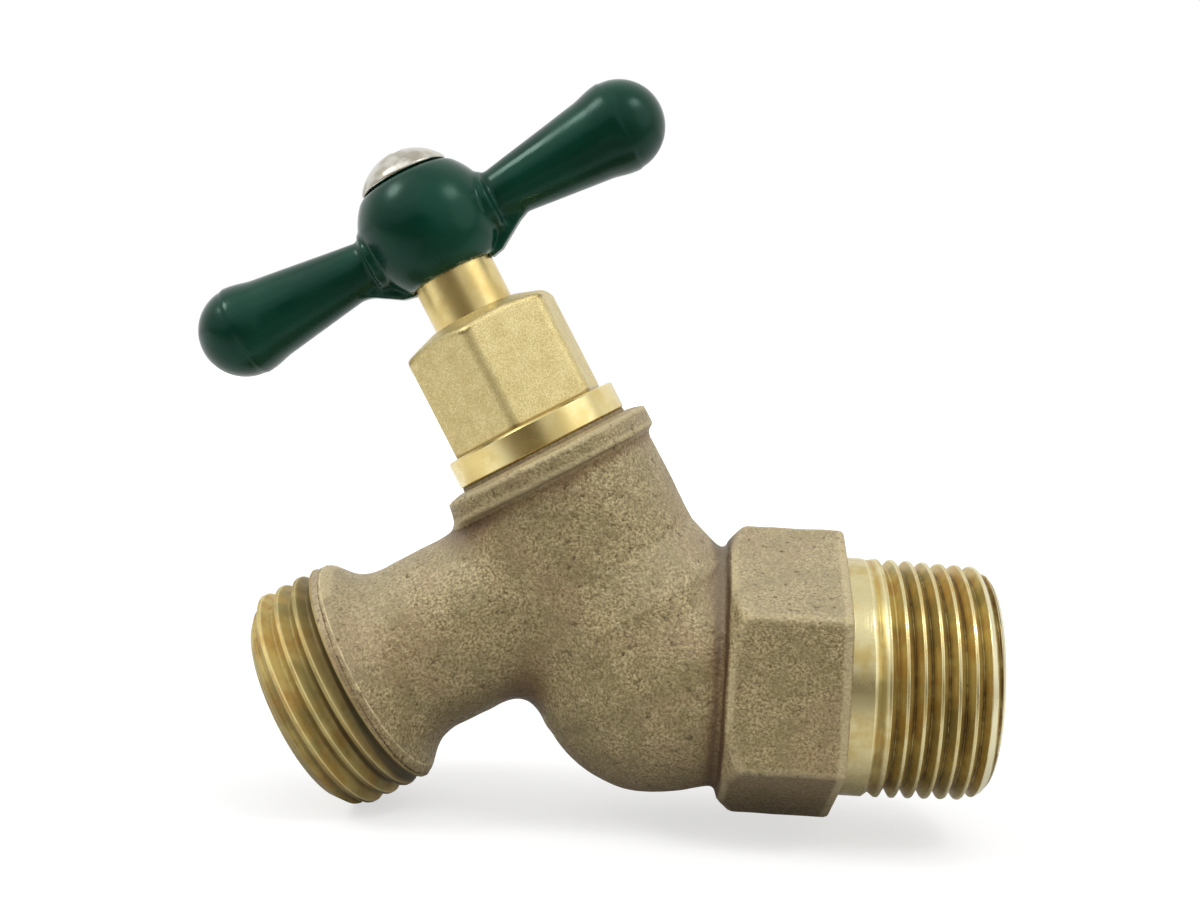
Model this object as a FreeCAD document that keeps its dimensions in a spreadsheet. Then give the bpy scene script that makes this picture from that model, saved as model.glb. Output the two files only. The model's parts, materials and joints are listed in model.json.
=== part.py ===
import FreeCAD, Part
import math
import os
import Sketcher

# Hose bibb: a cast angle valve with a tee handle.
# X runs along the inlet and points out of it, Z is up, and the origin is the middle of the inlet's end.
# The stem leans towards the outlet, and the outlet drops away from the inlet. All three axes lie in the XZ plane.

os.makedirs("parts", exist_ok=True)
doc = FreeCAD.newDocument("HoseBibb")

# Driving sizes, in millimetres and degrees. Heights are along the stem from where it crosses the inlet axis.
SIZES = [
    ("inlet_reach", 37.3, "stem crossing to inlet end"),
    ("stem_lean", 30.0, "stem from vertical, degrees"),
    ("outlet_rise", 13.9, "height at which the outlet axis leaves the stem axis"),
    ("outlet_drop", 30.0, "outlet below horizontal, degrees"),
    ("outlet_reach", 38.3, "stem axis to outlet end"),
    ("neck_radius", 13.1, "round neck between bulb and hex"),
    ("hex_start", 8.6, "stem crossing to the near face of the inlet hex"),
    ("hex_length", 12.9, "inlet hex, along the inlet"),
    ("hex_across", 28.9, "inlet hex across flats"),
    ("hex_face_radius", 13.95, "round face left by the hex chamfer"),
    ("hex_chamfer_length", 1.1, "hex chamfer, along the inlet"),
    ("pipe_thread_radius", 13.02, "male pipe thread crest at the inlet end"),
    ("pipe_thread_length", 13.0, "male pipe thread, along the inlet"),
    ("pipe_thread_pitch", 1.8143, "fourteen threads to the inch"),
    ("pipe_thread_depth", 1.2, "pipe thread crest to root"),
    ("pipe_thread_crest", 0.3, "flat on the pipe thread crest"),
    ("pipe_thread_margin", 0.25, "left between the last groove and the inlet end"),
    ("pipe_thread_slope", 1.79, "pipe thread taper from its axis, degrees"),
    ("inlet_lip_radius", 11.9, "inlet end face outer edge"),
    ("inlet_lip_length", 1.1, "inlet end chamfer, along the inlet"),
    ("inlet_bore_radius", 8.9, "waterway at the inlet"),
    ("inlet_bore_depth", 33.5, "inlet bore, from the inlet end"),
    ("bulb_radius", 13.45, "ball of the casting under the seat"),
    ("bulb_drop", 0.9, "bulb centre below the inlet axis"),
    ("bulb_wall", 3.25, "casting wall round the lower chamber"),
    ("boss_radius", 11.5, "round boss under the bonnet"),
    ("boss_root_radius", 13.3, "boss where it spreads into the bulb"),
    ("boss_root_top", 7.5, "boss starts to narrow"),
    ("boss_waist", 13.0, "boss has narrowed"),
    ("band_radius", 12.4, "collar at the top of the boss"),
    ("band_start", 24.6, "collar's lower edge"),
    ("band_slope", 0.7, "collar's lower bevel, along the stem"),
    ("band_top", 26.8, "collar's upper edge"),
    ("face_height", 27.35, "machined face that the bonnet seats on"),
    ("face_radius", 10.5, "machined face radius"),
    ("chamber_radius", 9.0, "upper chamber"),
    ("chamber_floor", 6.9, "upper chamber floor round the seat"),
    ("partition_low", 4.8, "underside of the wall that carries the seat"),
    ("partition_radius", 9.6, "reach of the seat wall into the casting"),
    ("seat_height", 7.8, "crown of the seat"),
    ("seat_radius", 7.2, "seat ring outside"),
    ("seat_crown", 0.45, "bevel on each side of the seat crown"),
    ("orifice_radius", 5.6, "seat opening"),
    ("spout_radius", 9.95, "outlet pipe outside"),
    ("spout_bore_radius", 6.0, "waterway from the chamber"),
    ("spout_bore_start", 1.5, "waterway starts this far from the stem axis"),
    ("spout_cone_start", 24.0, "waterway starts to widen"),
    ("spout_cone_end", 28.0, "waterway has widened"),
    ("mouth_radius", 9.2, "outlet mouth bore"),
    ("flare_start", 25.7, "cast flare behind the hose thread begins"),
    ("flare_end", 28.3, "cast flare reaches the thread blank"),
    ("hose_thread_radius", 13.49, "male hose thread crest"),
    ("hose_thread_length", 9.3, "male hose thread, along the outlet"),
    ("hose_thread_pitch", 2.2087, "eleven and a half threads to the inch"),
    ("hose_thread_depth", 1.36, "hose thread crest to root"),
    ("hose_thread_crest", 0.35, "flat on the hose thread crest"),
    ("hose_lip_radius", 11.6, "outlet end face outer edge"),
    ("hose_lip_length", 1.6, "outlet end chamfer, along the outlet"),
    ("thread_half_angle", 30.0, "half of the angle between thread flanks, degrees"),
    ("tool_over", 0.1, "how far a thread cutter stands out of the crest"),
    ("gasket_thickness", 0.4, "fibre ring under the bonnet flange"),
    ("gasket_radius", 10.2, "fibre ring outside"),
    ("gasket_clearance", 0.1, "fibre ring over the bonnet thread"),
    ("bonnet_thread_radius", 9.525, "bonnet thread in the boss"),
    ("bonnet_nose", 20.8, "lower end of the bonnet"),
    ("bonnet_nose_bevel", 0.6, "bevel on the bonnet's lower end"),
    ("tapped_relief", 0.5, "tapped bore below the bonnet's lower end"),
    ("flange_radius", 10.35, "round bonnet flange"),
    ("flange_thickness", 3.25, "bonnet flange, along the stem"),
    ("flange_bevel", 0.3, "bevel on the flange edges"),
    ("bonnet_hex_height", 13.65, "bonnet hex, above its flange"),
    ("bonnet_hex_across", 17.0, "bonnet hex across flats"),
    ("bonnet_hex_turn", -5.0, "bonnet hex about the stem, degrees"),
    ("bonnet_top_radius", 5.6, "round flat on top of the bonnet"),
    ("bonnet_top_drop", 1.5, "fall from the flat to the hex corners"),
    ("bonnet_core_radius", 8.0, "round core inside the bonnet hex"),
    ("thread_clearance", 0.05, "stem thread in the bonnet, on the radius"),
    ("shank_clearance", 0.05, "stem shank in the bonnet, on the radius"),
    ("ring_groove_radius", 6.25, "stem seal grooves in the bonnet"),
    ("ring_groove_width", 2.4, "stem seal groove, along the stem"),
    ("ring_top_depth", 4.05, "middle of the upper stem seal below the bonnet's top"),
    ("ring_land", 1.6, "wall between the two seal grooves"),
    ("ring_thickness", 1.9, "stem seal, along the stem"),
    ("ring_clearance", 0.03, "stem seal on the stem, on the radius"),
    ("ring_rounding", 0.55, "rounded edges of the stem seals"),
    ("lift", 7.144, "stem travel in two and a quarter turns"),
    ("lift_clearance", 0.5, "left above the stem thread when open"),
    ("stem_foot_radius", 5.4, "stem below its thread"),
    ("stem_foot_length", 3.1, "stem foot, below its thread"),
    ("stem_thread_radius", 6.3, "stem thread crest"),
    ("stem_thread_length", 9.0, "stem thread, along the stem"),
    ("stem_bevel", 0.5, "bevels on the stem thread's ends"),
    ("shank_radius", 4.763, "stem shank"),
    ("shank_top", 50.4, "shoulder where the stem turns square"),
    ("square_across", 6.6, "square end of the stem"),
    ("square_length", 10.4, "square end, along the stem"),
    ("square_clearance", 0.05, "handle over the square, each side"),
    ("screw_radius", 2.4, "handle screw shank"),
    ("screw_hole_depth", 9.4, "tapped hole in the stem"),
    ("screw_length", 9.5, "handle screw under its head"),
    ("head_radius", 5.45, "handle screw head"),
    ("head_height", 3.15, "handle screw head, along the stem"),
    ("recess_width", 1.1, "cross recess slot in the screw head"),
    ("recess_reach", 2.3, "cross recess arm from the middle"),
    ("recess_depth", 1.5, "cross recess depth"),
    ("swivel_play", 0.05, "stem foot above the disc holder"),
    ("stub_radius", 2.9, "disc holder's stub in the stem"),
    ("stub_clearance", 0.05, "stub in the stem, on the radius"),
    ("stub_length", 5.8, "disc holder's stub"),
    ("clip_groove_radius", 2.4, "clip groove in the stub"),
    ("clip_height", 3.5, "clip above the disc holder"),
    ("clip_thickness", 0.9, "clip, along the stem"),
    ("clip_radius", 3.4, "clip outside"),
    ("clip_clearance", 0.05, "clip in its grooves"),
    ("clip_gap", 60.0, "opening of the clip, degrees"),
    ("disc_radius", 8.35, "disc holder"),
    ("disc_thickness", 2.2, "disc holder above the seat washer"),
    ("disc_rim", 1.2, "rim round the seat washer"),
    ("disc_bevel", 0.5, "bevel on top of the disc holder"),
    ("washer_radius", 7.9, "seat washer"),
    ("washer_thickness", 3.2, "seat washer"),
    ("washer_clearance", 0.03, "seat washer off the seat at rest"),
    ("bibb_screw_radius", 1.75, "washer screw shank"),
    ("bibb_screw_length", 8.2, "washer screw under its head"),
    ("bibb_head_radius", 3.5, "washer screw head"),
    ("bibb_head_height", 1.9, "washer screw head"),
    ("bibb_slot_width", 0.9, "slot in the washer screw"),
    ("bibb_slot_depth", 0.8, "slot in the washer screw"),
    ("bibb_hole_over", 0.6, "tapped hole past the washer screw's end"),
    ("hub_height", 56.05, "handle ball centre"),
    ("hub_radius", 8.05, "handle ball"),
    ("hub_below", 6.1, "ball centre down to its lower flat"),
    ("hub_above", 6.05, "ball centre up to its upper flat"),
    ("hub_counterbore", 4.85, "counterbore round the stem shank"),
    ("arm_drop", 0.7, "arm axes cross below the ball centre"),
    ("arm_rise", 1.75, "arms rise outwards, degrees"),
    ("arm_start", 3.0, "arms begin inside the ball"),
    ("arm_root", 7.9, "waist of the arm beside the ball"),
    ("arm_skirt_radius", 3.5, "arm where it leaves the ball"),
    ("arm_root_radius", 3.0, "arm at its waist"),
    ("arm_tip", 29.55, "end of the arm from the stem axis"),
    ("arm_tip_radius", 5.25, "arm near its end"),
    ("arm_tip_straight", 5.2, "straight stretch at the arm's end"),
    ("arm_tip_rounding", 5.0, "rounding of the arm's end"),
    ("web_thickness", 2.4, "web under each arm"),
    ("web_reach", 9.8, "web along the arm"),
    ("web_depth", 5.3, "web below the arm axis at the ball"),
    ("web_foot", 6.3, "web's lower end from the stem axis"),
]

sizes = doc.addObject("Spreadsheet::Sheet", "Sizes")
for row, (alias, size, meaning) in enumerate(SIZES, start=1):
    sizes.set(f"A{row}", alias)
    sizes.set(f"B{row}", str(size))
    sizes.setAlias(f"B{row}", alias)
    sizes.set(f"C{row}", meaning)
doc.recompute()

# Planes that the sketches lie on, each with its turn in degrees and its place, as expressions.
LEVEL = ("0", "0", "0")
LEANING = ("Sizes.stem_lean", "0", "0")
DROPPING = (
    "90 + Sizes.outlet_drop",
    "-Sizes.outlet_rise * sin(Sizes.stem_lean)",
    "Sizes.outlet_rise * cos(Sizes.stem_lean)",
)

BONNET_SEAT = "Sizes.face_height + Sizes.gasket_thickness"
FLANGE_TOP = "Sizes.face_height + Sizes.gasket_thickness + Sizes.flange_thickness"
WASHER_LOW = "Sizes.seat_height + Sizes.washer_clearance"
WASHER_TOP = WASHER_LOW + " + Sizes.washer_thickness"
DISC_TOP = WASHER_TOP + " + Sizes.disc_thickness"
FOOT_LOW = DISC_TOP + " + Sizes.swivel_play"
THREAD_LOW = FOOT_LOW + " + Sizes.stem_foot_length"
THREAD_TOP = THREAD_LOW + " + Sizes.stem_thread_length"
HEAD_SEAT = "Sizes.hub_height + Sizes.hub_above"
BONNET_TOP = FLANGE_TOP + " + Sizes.bonnet_hex_height"
RING_UPPER = BONNET_TOP + " - Sizes.ring_top_depth"
RING_LOWER = RING_UPPER + " - Sizes.ring_groove_width - Sizes.ring_land"


def value(expression):
    """The number that an expression on the sheet gives."""
    return float(sizes.evalExpression(expression))


def plane_of(body, role):
    """One of the body's own origin planes."""
    return next(plane for plane in body.Origin.OriginFeatures if plane.Role == role)


def place_body(body, leaning):
    """Puts the body's origin where the stem crosses the inlet axis, leaning with the stem if asked."""
    body.setExpression("Placement.Base.x", "-Sizes.inlet_reach")
    if leaning:
        body.Placement.Rotation = FreeCAD.Rotation(FreeCAD.Vector(0, 1, 0), -1)
        body.setExpression("Placement.Rotation.Angle", "-Sizes.stem_lean")


def new_body(name, leaning=True):
    body = doc.addObject("PartDesign::Body", name)
    body.Label = name
    place_body(body, leaning)
    doc.recompute()
    return body


def new_sketch(body, name, role="XZ_Plane", frame=LEVEL, raised="0"):
    """An empty sketch on one of the body's planes, turned and moved within it, or raised off it."""
    sketch = body.newObject("Sketcher::SketchObject", name)
    sketch.AttachmentSupport = (plane_of(body, role), [""])
    sketch.MapMode = "FlatFace"
    turn, across, up = frame
    sketch.AttachmentOffset = FreeCAD.Placement(
        FreeCAD.Vector(0, 0, 0), FreeCAD.Rotation(FreeCAD.Vector(0, 0, 1), value(turn))
    )
    for path, expression in (("Base.x", across), ("Base.y", up), ("Base.z", raised)):
        if expression != "0":
            sketch.setExpression(f"AttachmentOffset.{path}", expression)
    if turn != "0":
        sketch.setExpression("AttachmentOffset.Rotation.Angle", turn)
    return sketch


def pin_point(sketch, line, end, point):
    """Ties one end of a line to its two expressions, or to an axis where one of them is zero."""
    for kind, axis, expression in (("DistanceX", -2, point[0]), ("DistanceY", -1, point[1])):
        if expression == "0":
            sketch.addConstraint(Sketcher.Constraint("PointOnObject", line, end, axis))
        else:
            index = sketch.addConstraint(
                Sketcher.Constraint(kind, -1, 1, line, end, value(expression))
            )
            sketch.setExpression(f"Constraints[{index}]", expression)


def draw_outline(sketch, points):
    """A closed outline of straight lines through points whose coordinates are expressions."""
    spots = [FreeCAD.Vector(value(across), value(up), 0) for across, up in points]
    count = len(points)
    for index in range(count):
        sketch.addGeometry(Part.LineSegment(spots[index], spots[(index + 1) % count]))
    for index in range(count):
        sketch.addConstraint(Sketcher.Constraint("Coincident", index, 2, (index + 1) % count, 1))
    for index in range(count):
        pin_point(sketch, index, 1, points[index])
    doc.recompute()
    return sketch


def outline(body, name, points, role="XZ_Plane", frame=LEVEL, raised="0"):
    return draw_outline(new_sketch(body, name, role, frame, raised), points)


def turned(body, name, points, frame=LEVEL, axis="V_Axis", cut=False, angle=None):
    """A turned solid, or a turned cut, from an outline beside its axis."""
    sketch = outline(body, name + "_outline", points, frame=frame)
    before = body.Shape.Volume if cut else 0
    feature = body.newObject("PartDesign::Groove" if cut else "PartDesign::Revolution", name)
    feature.Profile = sketch
    feature.ReferenceAxis = (sketch, [axis])
    if angle:
        feature.setExpression("Angle", angle)
    body.Tip = feature
    doc.recompute()
    if cut and not body.Shape.Volume < before - 1e-6:
        raise RuntimeError(name + " cuts nothing")
    return feature


def padded(body, name, sketch, length, cut=False, midplane=False):
    """A straight solid or cut of a stated length, along the sketch's normal."""
    before = body.Shape.Volume if cut else 0
    feature = body.newObject("PartDesign::Pocket" if cut else "PartDesign::Pad", name)
    feature.Profile = sketch
    feature.setExpression("Length", length)
    feature.Reversed = cut
    if midplane:
        feature.SideType = "Symmetric"
    body.Tip = feature
    doc.recompute()
    if cut and not body.Shape.Volume < before - 1e-6:
        raise RuntimeError(name + " cuts nothing")
    return feature


def ball(body, name, radius, centre, cut=False, low=None, high=None):
    """A whole ball, or one with flats at two latitudes, or the same as a cut."""
    kind = "PartDesign::SubtractiveSphere" if cut else "PartDesign::AdditiveSphere"
    feature = body.newObject(kind, name)
    feature.setExpression("Radius", radius)
    feature.setExpression("Placement.Base.z", centre)
    if low:
        feature.setExpression("Angle1", low)
    if high:
        feature.setExpression("Angle2", high)
    body.Tip = feature
    doc.recompute()
    return feature


def polygon_points(across, sides, turn="0"):
    """The corners of a regular polygon, given its size across flats."""
    radius = f"{across} / 2 / cos(180 / {sides})"
    corners = []
    for side in range(sides):
        angle = f"(90 + {turn} + {side} * 360 / {sides})"
        corners.append((f"{radius} * cos({angle})", f"{radius} * sin({angle})"))
    return corners


def round_edges(shape, test):
    """The names of the edges that a test accepts, apart from a ball's poles."""
    numbered = enumerate(shape.Edges, start=1)
    return [f"Edge{index}" for index, edge in numbered if not edge.Degenerated and test(edge)]


def dressed(body, kind, name, test, size):
    """A fillet or chamfer on the edges that a test picks."""
    base = body.Tip
    names = round_edges(base.Shape, test)
    if not names:
        raise RuntimeError(name + " found no edge")
    feature = body.newObject(kind, name)
    feature.Base = (base, names)
    feature.setExpression("Radius" if kind.endswith("Fillet") else "Size", size)
    body.Tip = feature
    doc.recompute()
    return feature


def cut_thread(body, name, groove, axis, frame, pitch, length, cone=None):
    """A right-hand thread, cut by sweeping a groove's outline along a helix towards the thread's end."""
    sketch = outline(body, name + "_groove", groove, frame=frame)
    before = body.Shape.Volume
    feature = body.newObject("PartDesign::SubtractiveHelix", name)
    feature.Profile = sketch
    feature.ReferenceAxis = (sketch, [axis])
    feature.Mode = "pitch-height-angle"
    feature.setExpression("Pitch", pitch)
    feature.setExpression("Height", length)
    if cone:
        feature.setExpression("Angle", cone)
    body.Tip = feature
    doc.recompute()
    if not body.Shape.Volume < before - 1e-6:
        raise RuntimeError(name + " cuts nothing")
    return feature


# Valve body casting


def make_inlet(body):
    """Neck, wrench hex and tapered thread blank along the inlet."""
    land = "Sizes.pipe_thread_radius + Sizes.pipe_thread_length * tan(Sizes.pipe_thread_slope)"
    hex_end = "Sizes.hex_start + Sizes.hex_length"
    thread_start = "Sizes.inlet_reach - Sizes.pipe_thread_length"
    lip_start = "Sizes.inlet_reach - Sizes.inlet_lip_length"
    lip_radius = "Sizes.pipe_thread_radius + Sizes.inlet_lip_length * tan(Sizes.pipe_thread_slope)"
    turned(
        body,
        "inlet_blank",
        [
            ("0", "0"),
            ("0", "Sizes.neck_radius"),
            ("Sizes.hex_start", "Sizes.neck_radius"),
            ("Sizes.hex_start", land),
            (thread_start, land),
            (lip_start, lip_radius),
            ("Sizes.inlet_reach", "Sizes.inlet_lip_radius"),
            ("Sizes.inlet_reach", "0"),
        ],
        axis="H_Axis",
    )
    hexagon = outline(
        body,
        "inlet_hex_outline",
        polygon_points("Sizes.hex_across", 6),
        role="YZ_Plane",
        raised="Sizes.hex_start",
    )
    padded(body, "inlet_hex", hexagon, "Sizes.hex_length")
    corner = "Sizes.hex_across / 2 / cos(30)"
    outside = corner + " + 1"
    near = "Sizes.hex_start"
    turned(
        body,
        "inlet_hex_near_chamfer",
        [
            (near, "Sizes.hex_face_radius"),
            (near + " + Sizes.hex_chamfer_length", corner),
            (near + " + Sizes.hex_chamfer_length", outside),
            (near, outside),
        ],
        axis="H_Axis",
        cut=True,
    )
    turned(
        body,
        "inlet_hex_far_chamfer",
        [
            (hex_end, "Sizes.hex_face_radius"),
            (hex_end, outside),
            (hex_end + " - Sizes.hex_chamfer_length", outside),
            (hex_end + " - Sizes.hex_chamfer_length", corner),
        ],
        axis="H_Axis",
        cut=True,
    )


def make_boss(body):
    """Round boss with the collar that the bonnet seats on."""
    turned(
        body,
        "bonnet_boss",
        [
            ("0", "0"),
            ("Sizes.boss_root_radius", "0"),
            ("Sizes.boss_root_radius", "Sizes.boss_root_top"),
            ("Sizes.boss_radius", "Sizes.boss_waist"),
            ("Sizes.boss_radius", "Sizes.band_start - Sizes.band_slope"),
            ("Sizes.band_radius", "Sizes.band_start"),
            ("Sizes.band_radius", "Sizes.band_top"),
            ("Sizes.face_radius", "Sizes.face_height"),
            ("0", "Sizes.face_height"),
        ],
        frame=LEANING,
    )


def make_spout(body):
    """Outlet pipe, cast flare and hose thread blank."""
    turned(
        body,
        "outlet_spout",
        [
            ("0", "0"),
            ("Sizes.spout_radius", "0"),
            ("Sizes.spout_radius", "Sizes.flare_start"),
            ("Sizes.hose_thread_radius", "Sizes.flare_end"),
            ("Sizes.hose_thread_radius", "Sizes.outlet_reach - Sizes.hose_lip_length"),
            ("Sizes.hose_lip_radius", "Sizes.outlet_reach"),
            ("0", "Sizes.outlet_reach"),
        ],
        frame=DROPPING,
    )


def make_waterway(body):
    """Inlet bore, lower chamber, seat wall, orifice, upper chamber and outlet bore."""
    bore_end = "Sizes.inlet_reach - Sizes.inlet_bore_depth"
    turned(
        body,
        "inlet_bore",
        [
            (bore_end, "0"),
            (bore_end, "Sizes.inlet_bore_radius"),
            ("Sizes.inlet_reach", "Sizes.inlet_bore_radius"),
            ("Sizes.inlet_reach", "0"),
        ],
        axis="H_Axis",
        cut=True,
    )
    ball(body, "lower_chamber", "Sizes.bulb_radius - Sizes.bulb_wall", "-Sizes.bulb_drop", cut=True)
    tapped_low = "Sizes.bonnet_nose - Sizes.tapped_relief"
    turned(
        body,
        "upper_chamber",
        [
            ("0", "Sizes.chamber_floor"),
            ("Sizes.chamber_radius", "Sizes.chamber_floor"),
            ("Sizes.chamber_radius", tapped_low),
            ("Sizes.bonnet_thread_radius", tapped_low),
            ("Sizes.bonnet_thread_radius", "Sizes.face_height"),
            ("0", "Sizes.face_height"),
        ],
        frame=LEANING,
        cut=True,
    )
    turned(
        body,
        "seat_wall",
        [
            ("0", "Sizes.partition_low"),
            ("Sizes.partition_radius", "Sizes.partition_low"),
            ("Sizes.partition_radius", "Sizes.chamber_floor"),
            ("Sizes.seat_radius", "Sizes.chamber_floor"),
            ("Sizes.seat_radius", "Sizes.seat_height - Sizes.seat_crown"),
            ("Sizes.seat_radius - Sizes.seat_crown", "Sizes.seat_height"),
            ("0", "Sizes.seat_height"),
        ],
        frame=LEANING,
    )
    turned(
        body,
        "seat_opening",
        [
            ("0", "Sizes.partition_low"),
            ("Sizes.orifice_radius", "Sizes.partition_low"),
            ("Sizes.orifice_radius", "Sizes.seat_height - Sizes.seat_crown"),
            ("Sizes.orifice_radius + Sizes.seat_crown", "Sizes.seat_height"),
            ("0", "Sizes.seat_height"),
        ],
        frame=LEANING,
        cut=True,
    )
    turned(
        body,
        "outlet_bore",
        [
            ("0", "Sizes.spout_bore_start"),
            ("Sizes.spout_bore_radius", "Sizes.spout_bore_start"),
            ("Sizes.spout_bore_radius", "Sizes.spout_cone_start"),
            ("Sizes.mouth_radius", "Sizes.spout_cone_end"),
            ("Sizes.mouth_radius", "Sizes.outlet_reach"),
            ("0", "Sizes.outlet_reach"),
        ],
        frame=DROPPING,
        cut=True,
    )


def groove_outline(crest_radius, start, pitch, crest, depth):
    """Half-profile of a thread groove beside its axis: (distance from the axis, place along it)."""
    half = f"({pitch} - {crest}) / 2"
    top = f"({half} + Sizes.tool_over * tan(Sizes.thread_half_angle))"
    low = f"({half} - {depth} * tan(Sizes.thread_half_angle))"
    return [
        (f"{crest_radius} + Sizes.tool_over", f"{start} - {top}"),
        (f"{crest_radius} + Sizes.tool_over", f"{start} + {top}"),
        (f"{crest_radius} - {depth}", f"{start} + {low}"),
        (f"{crest_radius} - {depth}", f"{start} - {low}"),
    ]


def cut_hose_thread(body):
    start = "Sizes.outlet_reach - Sizes.hose_thread_length + Sizes.hose_thread_pitch / 2"
    groove = groove_outline(
        "Sizes.hose_thread_radius",
        start,
        "Sizes.hose_thread_pitch",
        "Sizes.hose_thread_crest",
        "Sizes.hose_thread_depth",
    )
    cut_thread(
        body,
        "hose_thread",
        groove,
        "V_Axis",
        DROPPING,
        "Sizes.hose_thread_pitch",
        "Sizes.hose_thread_length + Sizes.hose_thread_pitch / 2",
    )


def cut_pipe_thread(body):
    start = "Sizes.inlet_reach - Sizes.pipe_thread_length + Sizes.pipe_thread_pitch / 2"
    run = "(Sizes.pipe_thread_length - Sizes.pipe_thread_pitch / 2)"
    crest_radius = f"(Sizes.pipe_thread_radius + {run} * tan(Sizes.pipe_thread_slope))"
    groove = groove_outline(
        crest_radius,
        start,
        "Sizes.pipe_thread_pitch",
        "Sizes.pipe_thread_crest",
        "Sizes.pipe_thread_depth",
    )
    groove = [(along, across) for across, along in groove]
    cut_thread(
        body,
        "pipe_thread",
        groove,
        "H_Axis",
        LEVEL,
        "Sizes.pipe_thread_pitch",
        "Sizes.pipe_thread_length - Sizes.pipe_thread_pitch - Sizes.pipe_thread_margin",
        cone="-Sizes.pipe_thread_slope",
    )


def make_valve_body():
    body = new_body("valve_body", leaning=False)
    make_inlet(body)
    ball(body, "bulb", "Sizes.bulb_radius", "-Sizes.bulb_drop")
    make_boss(body)
    make_spout(body)
    make_waterway(body)
    cut_hose_thread(body)
    cut_pipe_thread(body)
    return body


# Bonnet and its seals


def make_bonnet():
    body = new_body("bonnet")
    thread = "Sizes.bonnet_thread_radius"
    flange = "Sizes.flange_radius"
    top = BONNET_TOP
    turned(
        body,
        "bonnet_blank",
        [
            ("0", "Sizes.bonnet_nose"),
            (thread + " - Sizes.bonnet_nose_bevel", "Sizes.bonnet_nose"),
            (thread, "Sizes.bonnet_nose + Sizes.bonnet_nose_bevel"),
            (thread, BONNET_SEAT),
            (flange + " - Sizes.flange_bevel", BONNET_SEAT),
            (flange, BONNET_SEAT + " + Sizes.flange_bevel"),
            (flange, FLANGE_TOP + " - Sizes.flange_bevel"),
            (flange + " - Sizes.flange_bevel", FLANGE_TOP),
            ("Sizes.bonnet_core_radius", FLANGE_TOP),
            ("Sizes.bonnet_core_radius", top + " - Sizes.bonnet_top_drop"),
            ("Sizes.bonnet_top_radius", top),
            ("0", top),
        ],
    )
    hexagon = outline(
        body,
        "bonnet_hex_outline",
        polygon_points("Sizes.bonnet_hex_across", 6, "180 + Sizes.bonnet_hex_turn"),
        role="XY_Plane",
        raised=FLANGE_TOP,
    )
    padded(body, "bonnet_hex", hexagon, "Sizes.bonnet_hex_height")
    corner = "Sizes.bonnet_hex_across / 2 / cos(30)"
    turned(
        body,
        "bonnet_top_chamfer",
        [
            ("Sizes.bonnet_top_radius", top),
            (corner, top + " - Sizes.bonnet_top_drop"),
            (corner + " + 1", top + " - Sizes.bonnet_top_drop"),
            (corner + " + 1", top),
        ],
        cut=True,
    )
    step = THREAD_TOP + " + Sizes.lift + Sizes.lift_clearance"
    thread_bore = "Sizes.stem_thread_radius + Sizes.thread_clearance"
    shank_bore = "Sizes.shank_radius + Sizes.shank_clearance"
    turned(
        body,
        "stem_bore",
        [
            ("0", "Sizes.bonnet_nose"),
            (thread_bore, "Sizes.bonnet_nose"),
            (thread_bore, step),
            (shank_bore, step),
            (shank_bore, top),
            ("0", top),
        ],
        cut=True,
    )
    for name, height in (("lower", RING_LOWER), ("upper", RING_UPPER)):
        low = height + " - Sizes.ring_groove_width / 2"
        high = height + " + Sizes.ring_groove_width / 2"
        turned(
            body,
            name + "_ring_groove",
            [
                ("Sizes.shank_radius", low),
                ("Sizes.ring_groove_radius", low),
                ("Sizes.ring_groove_radius", high),
                ("Sizes.shank_radius", high),
            ],
            cut=True,
        )
    return body


def make_gasket():
    body = new_body("bonnet_gasket")
    inner = "Sizes.bonnet_thread_radius + Sizes.gasket_clearance"
    turned(
        body,
        "gasket_ring",
        [
            (inner, "Sizes.face_height"),
            ("Sizes.gasket_radius", "Sizes.face_height"),
            ("Sizes.gasket_radius", BONNET_SEAT),
            (inner, BONNET_SEAT),
        ],
    )
    return body


def make_stem_ring(name, height):
    body = new_body(name)
    inner = "Sizes.shank_radius + Sizes.ring_clearance"
    low = height + " - Sizes.ring_thickness / 2"
    high = height + " + Sizes.ring_thickness / 2"
    turned(
        body,
        name + "_section",
        [
            (inner, low),
            ("Sizes.ring_groove_radius", low),
            ("Sizes.ring_groove_radius", high),
            (inner, high),
        ],
    )
    dressed(
        body,
        "PartDesign::Fillet",
        name + "_rounding",
        lambda edge: isinstance(edge.Curve, Part.Circle),
        "Sizes.ring_rounding",
    )
    return body


# Stem and what swivels on its foot


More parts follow.
